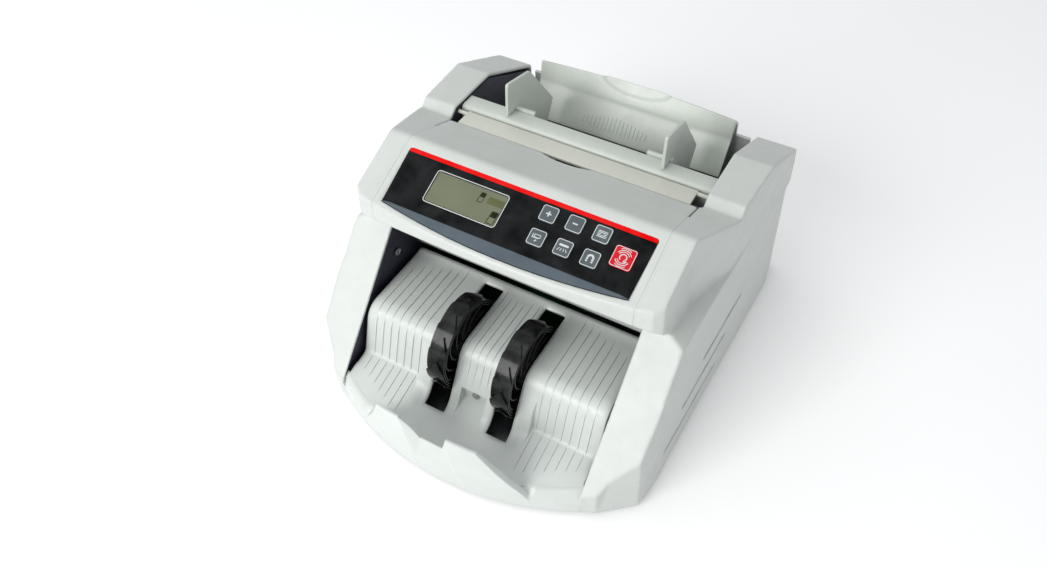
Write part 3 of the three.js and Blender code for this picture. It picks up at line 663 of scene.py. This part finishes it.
stripe_side, stripe_corner = FILM_SIDE - 0.1, FILM_SIDE - 2.1
stripe = arc(-stripe_corner, -2.2, 1.95, 90, 150, 5)
stripe += [(-stripe_side, STRIPE_LOW), (stripe_side, STRIPE_LOW)]
stripe += arc(stripe_corner, -2.2, 1.95, 30, 90, 5)
panel_piece("membrane_stripe", [stripe], PRINT, PRINT_LIFT, RED, "machine")

crescent_xs = film_columns(0.4)
crescent = [(x, film_low(x) + 0.35) for x in crescent_xs]
crescent += [(x, slope(CRESCENT_TOP)) for x in reversed(crescent_xs[1:-1])]
panel_piece("membrane_crescent", [crescent], PRINT, PRINT_LIFT, SLATE, "machine")

border = [lcd_window(0.2), lcd_window(1.2)]
panel_piece("lcd_border", border, (0.08, 0.01), 0.07, PALE, "machine")

# Display: the cell, with its digits on top.
cell = round_rect(LCD_X, LCD_UP, LCD_WIDTH - 0.8, LCD_HEIGHT - 0.8, 1.4)
panel_piece(
    "display_cell", [cell], (2.6, 0.15), -0.35, LCD, "machine", ["display_module"],
)


def digit_zero(x, y, width, height, stroke):
    """A seven-segment zero: six separate strokes, leaning a little."""
    lean = 0.1
    half_w, half_h = width / 2, height / 2
    gap = stroke * 0.45
    strokes = [
        bar(x - half_w + gap, y + up, x + half_w - gap, y + up, stroke)
        for up in (half_h, -half_h)
    ]
    for side in (x - half_w, x + half_w):
        strokes.append(bar(side, y + gap * 0.6, side, y + half_h - gap, stroke))
        strokes.append(bar(side, y - half_h + gap, side, y - gap * 0.6, stroke))
    return [[(u + (v - y) * lean, v) for u, v in outline] for outline in strokes]


digits = digit_zero(LCD_X + 8.8, LCD_UP + 4.3, 3.2, 6.4, 0.55)
digits += digit_zero(LCD_X + 21.2, LCD_UP - 5.4, 4.4, 8.0, 0.6)
panel_piece("display_digits", digits, (0.05, 0.008), -0.3, SEGMENT, "machine")
block = [round_rect(LCD_X + 18.6, LCD_UP + 4.3, 10.6, 4.6, 0.3)]
panel_piece(
    "display_block", block, (0.04, 0.008), -0.31, SEGMENT_FIELD, "machine",
)


# ---- keys: cap, pale outline and a pictogram each
def icon_plus(x, y):
    w, r = 0.42, 1.7
    cross = [(-r, -w), (-w, -w), (-w, -r), (w, -r), (w, -w), (r, -w),
             (r, w), (w, w), (w, r), (-w, r), (-w, w), (-r, w)]
    return [[(x + dx, y + dy) for dx, dy in cross]]


def icon_minus(x, y):
    return [bar(x - 1.6, y, x + 1.6, y, 0.8)]


def icon_stack(x, y):
    """A banded pile of notes."""
    sheets = [bar(x - 2.9, y + dy, x + 2.9, y + dy, 0.45) for dy in (-1.8, -0.95, 0.95, 1.8)]
    return sheets + [bar(x - 2.9, y, x - 0.7, y, 0.45), bar(x + 0.7, y, x + 2.9, y, 0.45)]


def icon_sheets(x, y):
    """Two sheets, one laid on the other, and a small cross."""
    back = [(-3, -0.6), (1.2, -0.6), (1.2, -0.1), (-2.5, -0.1), (-2.5, 2), (-3, 2)]
    sheets = [
        [(x + dx, y + dy) for dx, dy in back],
        round_rect(x + 0.2, y + 0.9, 4, 2.2, 0.2),
        round_rect(x + 0.2, y + 0.9, 3.2, 1.4, 0.15),
    ]
    return sheets + [
        bar(x - 0.9, y - 2, x + 0.9, y - 2, 0.4),
        bar(x, y - 1.72, x, y - 1.25, 0.4),
        bar(x, y - 2.75, x, y - 2.28, 0.4),
    ]


def icon_lamp(x, y):
    """A tube with rays below it."""
    rays = [bar(x + dx, y - 0.4, x + dx * 1.5, y - 2.3, 0.42) for dx in (-2, -0.7, 0.7, 2)]
    return [round_rect(x, y + 1.5, 6, 1.3, 0.6)] + rays


def icon_magnet(x, y):
    """A horseshoe with separate pole tips."""
    legs = [
        bar(x + side, y + top, x + side, y + foot, 1.2)
        for top, foot in ((0.15, -1.1), (-1.45, -2.3))
        for side in (-1.7, 1.7)
    ]
    return [ring_sector(x, y + 0.4, 1.1, 2.3, 0, 180)] + legs


def icon_restart(x, y):
    """A circular arrow between arcs, three above it and three below it."""
    turn = ring_sector(x, y, 1.7, 2.35, -50, 230, 26)
    head = [(x + 0.55, y - 2.6), (x + 2.9, y - 2.15), (x + 1.2, y - 0.65)]
    arcs = [
        ring_sector(x, y, inner, outer, middle - spread, middle + spread)
        for inner, outer, spread in ((3.2, 3.65, 62), (4.3, 4.75, 62), (5.4, 5.8, 34))
        for middle in (90, 270)
    ]
    return [turn, head] + arcs


ICONS = {
    "key_plus": icon_plus, "key_minus": icon_minus, "key_batch": icon_stack,
    "key_add": icon_sheets, "key_lamp_check": icon_lamp,
    "key_magnet_check": icon_magnet, "key_restart": icon_restart,
}
CAP_THICKNESS, CAP_ROUND, CAP_LIFT = 1.3, 0.25, 0.7
OUTLINE_INSET, OUTLINE_WIDTH = 0.5, 0.8
KEY_PRINT_LIFT = 0.75
for name, (x, y, size) in KEYS.items():
    up = slope(y)
    body = name + "_cap"
    face, slot = (KEY_RED, "red_key") if name == "key_restart" else (KEY_GREY, "keycap")
    square = [round_rect(x, up, size, size, 1.7)]
    place = panel_place(CAP_LIFT)
    cap = plate_mesh(name + "_face", square, CAP_THICKNESS, CAP_ROUND, place, bevel_steps=3)
    finish_mesh(name + "_face", cap, face, body, [name])
    outer, inner = size - OUTLINE_INSET, size - OUTLINE_INSET - OUTLINE_WIDTH
    outline = [round_rect(x, up, outer, outer, 1.5), round_rect(x, up, inner, inner, 1.2)]
    panel_piece(name + "_outline", outline, (0.08, 0.01), KEY_PRINT_LIFT, PALE, body)
    icon = ICONS[name](x, up)
    panel_piece(name + "_icon", icon, (0.07, 0.008), KEY_PRINT_LIFT, PALE, body)


# ------------------------------------------------------------------ stacker tray
# Sections of the tray are lists of (y, z), from the rear towards the front.
TRAY_X = 87.6
LIP_X = 89.3
SLOT_IN, SLOT_OUT = 15.75, 30.75
SLOT_REAR, SLOT_FRONT = -4.6, -84.0

DECK_REAR, DECK_LEVEL, BEND_START = (1.6, 66.3), (-4, 65), (-48.6, 65)
BEND_CORNER, RAMP_TOP = (-59.6, 65), (-62.6, 54.9)
DECK_AND_BEND = (
    line_points(DECK_REAR, DECK_LEVEL, 2)
    + line_points(DECK_LEVEL, BEND_START, 12)
    + bend_points(BEND_START, BEND_CORNER, RAMP_TOP, 10)
)
# Outside the gussets a steep face goes down to the floor, between them a ramp.
STEEP_FOOT, STEEP_CORNER, OUTER_FLOOR = (-69.3, 32.9), (-70, 30.2), (-72.8, 29.4)
POCKET_TOP, RAMP_FOOT, MIDDLE_FLOOR = (-70.5, 39.3), (-74.6, 31.2), (-85, 23.2)
# The corner that the ramp's foot curves round is higher beside the ramp than in its middle.
CORNER_Y, CORNER_MIDDLE_Z, CORNER_SIDE_Z = -78.4, 24, 26.8
LEVEL_FLOOR = (-98.6, 22)
# The pocket round the tray's screw: its upright wall, and the fall in front of it.
POCKET_X = 9.4
POCKET_WALL_TOP, POCKET_WALL_FOOT, POCKET_FALL = (-68.0, 37.4), (-68.0, 28.5), (-79.6, 24.4)
# The gussets between ramp and steep face: the two columns of their faces, and how far these
# lean outwards from GUSSET_TOP_Z down.
GUSSET_X = (41.3, 42.1)
GUSSET_LEAN, GUSSET_TOP_Z, GUSSET_HEIGHT = (-0.7, 0.8), 57, 30
RAMP_HALF, RAMP_BLEND = 31, 9
FLOOR_ROWS = 12
# The deck's edge beside the frame plates drops by up to EDGE_DROP, behind EDGE_FRONT.
EDGE_DROP, EDGE_START_X, EDGE_WIDTH, EDGE_FRONT, EDGE_FADE = 1.4, 84.6, 3, -84, 8
# Behind SIDES_FRONT the tray is no wider than the gap between the frame plates.
SIDES_FRONT = -88

FRONT_RADIUS, FRONT_Y, FRONT_LEAN = 183, -116.65, 0.152
WALL_FOOT, WALL_TOP, WALL_LOW, WALL_HEIGHT = 6.8, 1.6, 20, 52
ROLL, ROLL_LOW, ROLL_STEPS = 8.5, 12.0, 18
FLOOR_WIDENS_X, ROLL_FROM_X = 54, 57.5
SKIRT_FOOT, SKIRT_ROWS = 3, 16
# The floor runs on a little, just below the lip.
UNDER_LIP, UNDER_LIP_DROP = 1.0, 0.12
# Behind the skirt's foot the section turns back up, as offsets in y and heights.
SKIRT_RETURN = [(0.3, 2.95), (2.4, 3.0), (2.6, 4), (2.0, 11)]
NOTCH_FOOT, NOTCH_Z = 7.8, 47
EAR_IN, EAR_PEAK, EAR_TIP = 16.3, 71.9, 62.6
RIM_ROUND, RIM_LEAST, RIM_MOST = 0.9, 1.4, 4.2
EAR_TOP = [
    (0, NOTCH_Z), (NOTCH_FOOT, NOTCH_Z), (EAR_IN, EAR_PEAK), (34.6, 67.4), (37.3, 61.5),
    (43.5, 47.5), (50.5, 33.7), (56.6, 24), (EAR_TIP, 14), (90, 12),
]
# The recess outside the notch: its half width at the foot, where its flat back starts and
# over what height it narrows to the notch, and the Y and tilt of that back.
RECESS_FOOT_X, RECESS_LOW, RECESS_HEIGHT = 15.6, 17, 30
RECESS_Y, RECESS_TILT, RECESS_TOP = -118.2, 1.5, 71
RECESS_FOOT_DEPTH, RECESS_FLANK = 0.35, 0.1

OUTER_GROOVES = [44.7, 50.6, 56.4, 62.3, 68.1, 74, 79.9]
INNER_GROOVES = [-12.4, -7.4, -2.5, 2.5, 7.4, 12.4]
GROOVE_HALF, GROOVE_EDGE, GROOVE_DEPTH, GROOVE_FADE = 0.3, 0.12, 0.75, 1.5


def front_arc(x, z):
    """The outside of the front wall and skirt: an arc, leaning towards its top."""
    bow = FRONT_RADIUS - math.sqrt(FRONT_RADIUS ** 2 - x * x)
    return FRONT_Y + bow - FRONT_LEAN * (z - SKIRT_FOOT)


def beside_ramp(x):
    """0 between the wheels and 1 beside the ramp."""
    return smooth((abs(x) - RAMP_HALF) / RAMP_BLEND)


def outer_floor(y):
    """Beside the ramp the floor slopes down towards the front and then runs level."""
    level_y, level_z = LEVEL_FLOOR
    if y > level_y:
        return lerp(OUTER_FLOOR[1], level_z, (OUTER_FLOOR[0] - y) / (OUTER_FLOOR[0] - level_y))
    return level_z - 0.2 * smooth((level_y - y) / 8)


def floor_height(x, y):
    """Height of the floor in front of the ramp or the steep face."""
    outer = middle = outer_floor(y)
    rear_y, rear_z = MIDDLE_FLOOR
    level_y, level_z = LEVEL_FLOOR
    if y > level_y:
        middle = lerp(rear_z, level_z, (rear_y - y) / (rear_y - level_y))
    return lerp(middle, outer, beside_ramp(x))


def face_points(x):
    """The face below the bend at one x, and the point where the floor starts."""
    side = abs(x)
    if side > GUSSET_X[0] + 0.1:
        steep = line_points(RAMP_TOP, STEEP_FOOT, 8)
        return steep + bend_points(STEEP_FOOT, STEEP_CORNER, OUTER_FLOOR, 6), OUTER_FLOOR
    floor_y = MIDDLE_FLOOR[0]
    floor = (floor_y, lerp(MIDDLE_FLOOR[1], outer_floor(floor_y), beside_ramp(x)))
    ramp = line_points(RAMP_TOP, POCKET_TOP, 4)
    if side < POCKET_X - 0.1:
        ramp += line_points(POCKET_TOP, POCKET_WALL_TOP, 1)
        ramp += line_points(POCKET_WALL_TOP, POCKET_WALL_FOOT, 4)
        return ramp + line_points(POCKET_WALL_FOOT, POCKET_FALL, 4) + [POCKET_FALL], floor
    corner = (CORNER_Y, lerp(CORNER_MIDDLE_Z, CORNER_SIDE_Z, beside_ramp(x)))
    ramp += line_points(POCKET_TOP, RAMP_FOOT, 4)
    return ramp + bend_points(RAMP_FOOT, corner, floor, 6), floor


def wall_at(z):
    """The front wall is thick at the floor and thin at the top."""
    return lerp(WALL_FOOT, WALL_TOP, clamp((z - WALL_LOW) / WALL_HEIGHT))


def floor_front(x):
    """Where the floor ends: at the ears' foot, or at the edge of the skirt beside them."""
    floor_z = LEVEL_FLOOR[1]
    reach = lerp(wall_at(floor_z), ROLL, smooth((abs(x) - FLOOR_WIDENS_X) / 7))
    return front_arc(x, floor_z) + reach


def tray_profile(x):
    """Points from the rear edge to just under the lip at one x."""
    face, start = face_points(x)
    front = floor_front(x)
    points = DECK_AND_BEND + face
    points += [(y, floor_height(x, y)) for y in spaced(start[0], front, FLOOR_ROWS)]
    points.append((front - UNDER_LIP, floor_height(x, front) - UNDER_LIP_DROP))
    drop = EDGE_DROP * smooth((abs(x) - EDGE_START_X) / EDGE_WIDTH) ** 2
    return [(y, z - drop * smooth((y - EDGE_FRONT) / EDGE_FADE)) for y, z in points]


COLUMN_PITCH, COLUMN_LEAST = 6.0, 1.2


def tray_columns():
    """The x of each column of points, with its groove and its share of the groove's depth."""
    columns = {}
    for groove in sorted([-g for g in OUTER_GROOVES] + INNER_GROOVES + OUTER_GROOVES):
        rim = GROOVE_HALF + GROOVE_EDGE
        for dx, share in ((-rim, 0), (-GROOVE_HALF, 1), (GROOVE_HALF, 1), (rim, 0)):
            columns[round(groove + dx, 3)] = (groove, share)
    edges = [
        0, 4.4, 5.9, POCKET_X - 0.4, POCKET_X, POCKET_X + 0.3, SLOT_IN, 18.5, 21.5, 25, 28,
        SLOT_OUT, 33, 35.5, 38, 40, *GUSSET_X, 43.4, 84, 86.6, TRAY_X, LIP_X,
    ]
    for edge in edges + [-edge for edge in edges if edge]:
        columns.setdefault(round(edge, 3), (None, 0))
    for k in range(-14, 15):
        between = k * COLUMN_PITCH
        if all(abs(between - other) > COLUMN_LEAST for other in columns):
            columns[round(between, 3)] = (None, 0)
    return sorted(columns.items())


def groove_ends(groove):
    """Rear and front end of a groove; from groove to groove they lie on slanting lines."""
    side = abs(groove)
    if side < SLOT_IN:
        return -9.5 + side * 0.25, -66.5
    return -0.4 - abs(side - 42) * 0.42, -96 + max(0, side - 50) * 0.5


def grooved_point(profile, i, groove):
    """A point of the profile, moved by the depth of the groove where the groove runs."""
    y, z = profile[i]
    before, after = profile[max(i - 1, 0)], profile[min(i + 1, len(profile) - 1)]
    along_y, along_z = after[0] - before[0], after[1] - before[1]
    size = math.hypot(along_y, along_z)
    rear, front = groove_ends(groove)
    mask = smooth((rear - y) / GROOVE_FADE + 0.5) * smooth((y - front) / GROOVE_FADE + 0.5)
    depth = GROOVE_DEPTH * mask
    return y + along_z / size * depth, z + along_y / size * depth


def tray_rows(columns):
    rows = []
    for x, (groove, share) in columns:
        profile = tray_profile(x)
        row = []
        for i, (y, z) in enumerate(profile):
            if share:
                y, z = grooved_point(profile, i, groove)
            lean = 0
            if abs(x) in GUSSET_X:
                share_down = smooth((GUSSET_TOP_Z - z) / GUSSET_HEIGHT)
                lean = math.copysign(lerp(*GUSSET_LEAN, share_down), x)
            row.append((x + lean, y, z))
        rows.append(row)
    return rows


def fit_slot_ends(columns, rows):
    """Moves one row of points in the slot's columns onto each end of the slot."""
    for (x, _), row in zip(columns, rows):
        if not SLOT_IN - 0.1 <= abs(x) <= SLOT_OUT + 0.1:
            continue
        for end in (SLOT_REAR, SLOT_FRONT):
            nearest = min(range(len(row)), key=lambda j: abs(row[j][1] - end))
            z = row[nearest][2] if end == SLOT_REAR else MIDDLE_FLOOR[1]
            row[nearest] = (row[nearest][0], end, z)


columns = tray_columns()
rows = tray_rows(columns)


def kept_cell(i, j):
    """False in the slots, and outside the tray's sides behind the lip."""
    x = abs(columns[i][0] + columns[i + 1][0]) / 2
    y = (rows[i][j][1] + rows[i][j + 1][1]) / 2
    outside = x > TRAY_X and y > SIDES_FRONT
    in_slot = SLOT_IN < x < SLOT_OUT and SLOT_FRONT < y < SLOT_REAR
    return not (outside or in_slot)


fit_slot_ends(columns, rows)
deck = finish_mesh(
    "stacker_deck", grid_mesh("stacker_deck", rows, kept_cell), TRAY,
    "machine", ["stacker_tray"], sharp=32,
)
thicken(deck, 2.3, -1)


def ear_top(side):
    """Height of the front wall: the notch, its slanting side, the ear, its slanting edge."""
    for (x0, z0), (x1, z1) in zip(EAR_TOP, EAR_TOP[1:]):
        if side <= x1:
            return lerp(z0, z1, (side - x0) / (x1 - x0))
    return ROLL_LOW


def outer_face(x, z):
    """The front arc, hollowed below the notch by a recess that fades out downwards."""
    side, arc_y = abs(x), front_arc(x, z)
    if side >= EAR_IN or z > RECESS_TOP:
        return arc_y
    rise = clamp((z - RECESS_LOW) / RECESS_HEIGHT)
    back = arc_y + RECESS_FOOT_DEPTH
    if z > RECESS_LOW:
        back = max(RECESS_Y - RECESS_TILT * rise, arc_y)
    flat, flank_end = lerp(RECESS_FOOT_X, NOTCH_FOOT, rise), EAR_IN - RECESS_FLANK
    return lerp(back, arc_y, clamp((side - flat) / (flank_end - flat)))


def ear_section(x):
    """Inner foot, inner face and rim of the front wall where it stands up."""
    top = ear_top(abs(x))
    edge = top - RIM_ROUND
    foot = (floor_front(x), floor_height(x, floor_front(x)))
    outer_y = outer_face(x, top)
    inner_y = max(front_arc(x, edge) + min(wall_at(edge), RIM_MOST), outer_y + RIM_LEAST)
    inner, inner_corner, inner_rim = (inner_y, edge), (inner_y - 0.1, top), (inner_y, top)
    outer, outer_corner = (outer_face(x, edge), edge), (outer_y, top)
    rim_start, rim_end = (mixed_point(inner_rim, outer_corner, t) for t in (0.25, 0.75))
    return (
        line_points(foot, inner, 8)
        + bend_points(inner, inner_corner, rim_start, 3)
        + line_points(rim_start, rim_end, 3)
        + bend_points(rim_end, outer_corner, outer, 4)
    )


def roll_section(x):
    """Beside the ears the floor rolls over into the skirt."""
    outer = front_arc(x, ROLL_LOW)
    reach = floor_front(x) - outer
    height = floor_height(x, floor_front(x)) - ROLL_LOW
    turns = [math.radians(90 * i / ROLL_STEPS) for i in range(ROLL_STEPS)]
    return [(outer + reach * (1 - math.sin(a)), ROLL_LOW + height * math.cos(a)) for a in turns]


def lip_section(x):
    """The inside and rim of the wall or the roll, then the outside down to the base."""
    side = abs(x)
    share = smooth((side - ROLL_FROM_X) / (EAR_TIP - ROLL_FROM_X))
    points = ear_section(x) if side < EAR_TIP else roll_section(x)
    if 0 < share < 1:
        points = [mixed_point(a, b, share) for a, b in zip(points, roll_section(x))]
    rim = lerp(ear_top(side) - RIM_ROUND, ROLL_LOW, share)
    points += [(outer_face(x, z), z) for z in spaced(rim, SKIRT_FOOT, SKIRT_ROWS)]
    base = points[-1][0]
    points += [(base + inwards, z) for inwards, z in SKIRT_RETURN]
    return [(x, y, z) for y, z in points]


LIP_COLUMNS = [
    0, 2, 4, 6, 7.2, NOTCH_FOOT, 8.3, 9, 10, 11, 12, 13, 13.8, 14.6, 15.2, 15.8, EAR_IN, 16.8,
    17.6, 19, 22, 26, 30, 33, 34.6, 35.2, 35.8, 36.5, 37.3, 39, 42, 44, 47, 50, 53, 56, 58,
    59.4, 60.4, 61.2, 62, EAR_TIP, 63.4, 65, 67, 70, 73, 77, 81, 85, TRAY_X, LIP_X,
]
lip_rows = [lip_section(x) for x in [-x for x in LIP_COLUMNS[:0:-1]] + LIP_COLUMNS]
finish_mesh(
    "stacker_lip", grid_mesh("stacker_lip", lip_rows), TRAY,
    "machine", ["stacker_tray"], sharp=32,
)


# ------------------------------------------------------------------ stacker wheels
WHEEL_Y, WHEEL_Z, WHEEL_RADIUS = -47.5, 53.7, 32.4
WHEEL_X, WHEEL_WIDTH = 23.25, 12.4
HUB_RADIUS, BORE_RADIUS = 13, 4.3
# A fin sweeps FIN_SWEEP radians round the wheel, lies close to the rim for the first
# FIN_WIND of them and dives to FIN_ROOT from the axis over the rest.
FINS, FIN_STEPS = 12, 46
FIN_SWEEP, FIN_WIND, FIN_PITCH, FIN_ROOT = 2.6, 1.75, 1.5, 11.5
FIN_HALF_TIP, FIN_HALF_ROOT = 0.22, 0.5
TIP_SWEEP, TIP_SHARPNESS, TIP_ACROSS = 0.3, 0.97, 0.6


def fin_line(back):
    """A fin's middle line, at an angle in radians back from its tip."""
    rim = WHEEL_RADIUS - FIN_PITCH * back * FINS / (2 * math.pi)
    dive = max(0, (back - FIN_WIND) / (FIN_SWEEP - FIN_WIND)) ** 1.3
    return Vector((math.cos(back), math.sin(back))) * lerp(rim, FIN_ROOT, dive)


def fin_sections(x, turn):
    """Cross-sections of one fin from its pointed tip to its root, as points (x, y, z)."""
    sections = []
    spin = Matrix.Rotation(turn, 2)
    low, high = x - WHEEL_WIDTH / 2, x + WHEEL_WIDTH / 2
    apex = lerp(low, high, TIP_ACROSS)
    for i in range(FIN_STEPS + 1):
        back = FIN_SWEEP * (i / FIN_STEPS) ** 1.25
        along = (fin_line(back + 0.01) - fin_line(back - 0.01)).normalized()
        half = Vector((-along.y, along.x)) * lerp(FIN_HALF_TIP, FIN_HALF_ROOT, i / FIN_STEPS)
        outer, inner = spin @ (fin_line(back) - half), spin @ (fin_line(back) + half)
        narrowing = TIP_SHARPNESS * max(0.0, 1 - back / TIP_SWEEP)
        left, right = lerp(low, apex, narrowing), lerp(high, apex, narrowing)
        sections.append([
            (across, WHEEL_Y + point.x, WHEEL_Z + point.y)
            for across, point in ((left, outer), (right, outer), (right, inner), (left, inner))
        ])
    return sections


# Local x, y of a plate become Y and Z of the machine, and its thickness runs along X.
SIDEWAYS = Matrix(((0, 0, 1, 0), (1, 0, 0, 0), (0, 1, 0, 0), (0, 0, 0, 1)))

for side, label in ((1, "right"), (-1, "left")):
    wheel_x = side * WHEEL_X
    turns = [2 * math.pi * (k + 0.3) / FINS for k in range(FINS)]
    name = f"wheel_{label}_fins"
    fins = tubes_mesh(name, [fin_sections(wheel_x, turn) for turn in turns])
    finish_mesh(name, fins, BLACK, "stacker")
    name = f"wheel_{label}_hub"
    rings = [arc(0, 0, HUB_RADIUS, 0, 360, 47)[:-1], arc(0, 0, BORE_RADIUS, 0, 360, 31)[:-1]]
    middle = Matrix.Translation(at(wheel_x + WHEEL_WIDTH / 2, WHEEL_Y, WHEEL_Z))
    hub = plate_mesh(name, rings, WHEEL_WIDTH, 0.6, middle @ SIDEWAYS @ Matrix.Scale(MM, 4))
    finish_mesh(name, hub, BLACK, "stacker", [f"stacker_wheel_{label}"])


# ------------------------------------------------------------------ hopper plate
# Its section: a straight face from the foot, a bend, and a steeper top that is bowed.
PLATE_FOOT, FACE_TOP = (138.5, 95.9), (151.9, 117.4)
FACE_CORNER, BAND_FOOT = (152.9, 119.2), (153.1, 120.4)
RIM_X, RIM_Y, RIM_Z, RIM_BOW = 75.5, 154.5, 133.6, 6.0
PLATE_COLUMNS, BAND_ROWS = 100, 18
# The thumb recess in the rim: its middle, its half width and height, its depth.
THUMB_X, THUMB_Z, THUMB_WIDE, THUMB_HIGH, THUMB_DEPTH = -1, RIM_Z + 1, 27.5, 8.6, 1.3


def backrest_row(x):
    radius = (RIM_X ** 2 + RIM_BOW ** 2) / (2 * RIM_BOW)
    bow = RIM_BOW - (radius - math.sqrt(radius * radius - x * x))
    profile = line_points(PLATE_FOOT, FACE_TOP, 10)
    profile += bend_points(FACE_TOP, FACE_CORNER, BAND_FOOT, 4)
    for t in spaced(0, 1, BAND_ROWS):
        y = lerp(BAND_FOOT[0], RIM_Y + bow, t ** 1.15)
        z = lerp(BAND_FOOT[1], RIM_Z - 0.2, t)
        from_middle = ((x - THUMB_X) / THUMB_WIDE) ** 2 + ((z - THUMB_Z) / THUMB_HIGH) ** 2
        profile.append((y + THUMB_DEPTH * smooth((1 - from_middle) / 0.16), z))
    return [(x, y, z) for y, z in profile]


backrest_rows = [backrest_row(x) for x in spaced(-RIM_X, RIM_X, PLATE_COLUMNS)]
backrest = finish_mesh(
    "hopper_backrest", grid_mesh("hopper_backrest", backrest_rows), GREY,
    "door", ["hopper_plate"], sharp=40,
)
thicken(backrest, 2.4, 1)
round_edges(backrest, 0.8, 60, 3)

# A fan of small ribs on its face, the longest in the middle.
RIBS, RIB_WIDTH, RIB_HEIGHT, RIB_ROUND = 17, 1.0, 0.7, 0.18
face_turn = math.atan2(FACE_TOP[1] - PLATE_FOOT[1], FACE_TOP[0] - PLATE_FOOT[0])
for k, x in enumerate(spaced(-34, 16, RIBS - 1)):
    fullness = 1 - ((k - 8) / 8.6) ** 2
    low, high = 8.0 - 2.2 * fullness, 11.5 + 5.2 * fullness
    place = (
        Matrix.Translation(at(x, *PLATE_FOOT))
        @ Matrix.Rotation(face_turn, 4, "X")
        @ Matrix.Scale(MM, 4)
        @ Matrix.Translation((0, 0, 0.45))
    )
    outline = round_rect(0, (low + high) / 2, RIB_WIDTH, high - low, 0.45)
    name = f"hopper_rib_{k:02d}"
    rib = plate_mesh(name, [outline], RIB_HEIGHT, RIB_ROUND, place)
    finish_mesh(name, rib, GREY, "door")


# ------------------------------------------------------------------ floor, light
# Sizes and places here are in metres, and powers in watts.
bm = bmesh.new()
bmesh.ops.create_grid(bm, x_segments=1, y_segments=1, size=6)
floor_mesh = bpy.data.meshes.new("floor")
bm.to_mesh(floor_mesh)
bm.free()
floor = new_object("floor", floor_mesh)
ground = Nodes("floor_white")
floor.data.materials.append(ground.shade(
    Base_Color=ground.ramp(
        ground.noise(400, 2), (0.3, (0.90, 0.90, 0.90, 1)), (0.7, (0.92, 0.92, 0.92, 1)),
    ),
    Roughness=0.9,
    Emission_Color=(1, 1, 1, 1),
    Emission_Strength=0.14,
))

world = bpy.data.worlds.new("studio")
bpy.context.scene.world = world
world.use_nodes = True
sky = world.node_tree.nodes["Background"].inputs
sky["Color"].default_value = (0.95, 0.98, 1, 1)
sky["Strength"].default_value = 0.5


def soft_light(name, place, target_height, size, power):
    """A square lamp that looks at a point above the part's origin."""
    data = bpy.data.lights.new(name, "AREA")
    data.shape = "SQUARE"
    data.size = size
    data.energy = power
    lamp = new_object(name, data)
    lamp.location = place
    aim(lamp, Vector((0, 0, target_height)) - Vector(place))


soft_light("key", (-0.45, -1.55, 0.95), 0.08, 1.0, 24)
soft_light("top", (-0.5, 0.1, 1.5), 0.1, 1.4, 6)
soft_light("fill", (1.6, -0.2, 0.7), 0.08, 1.2, 1.6)

view = bpy.context.scene.view_settings
view.view_transform = "Standard"
view.look = "None"
view.exposure = 0.0
view.gamma = 1.0
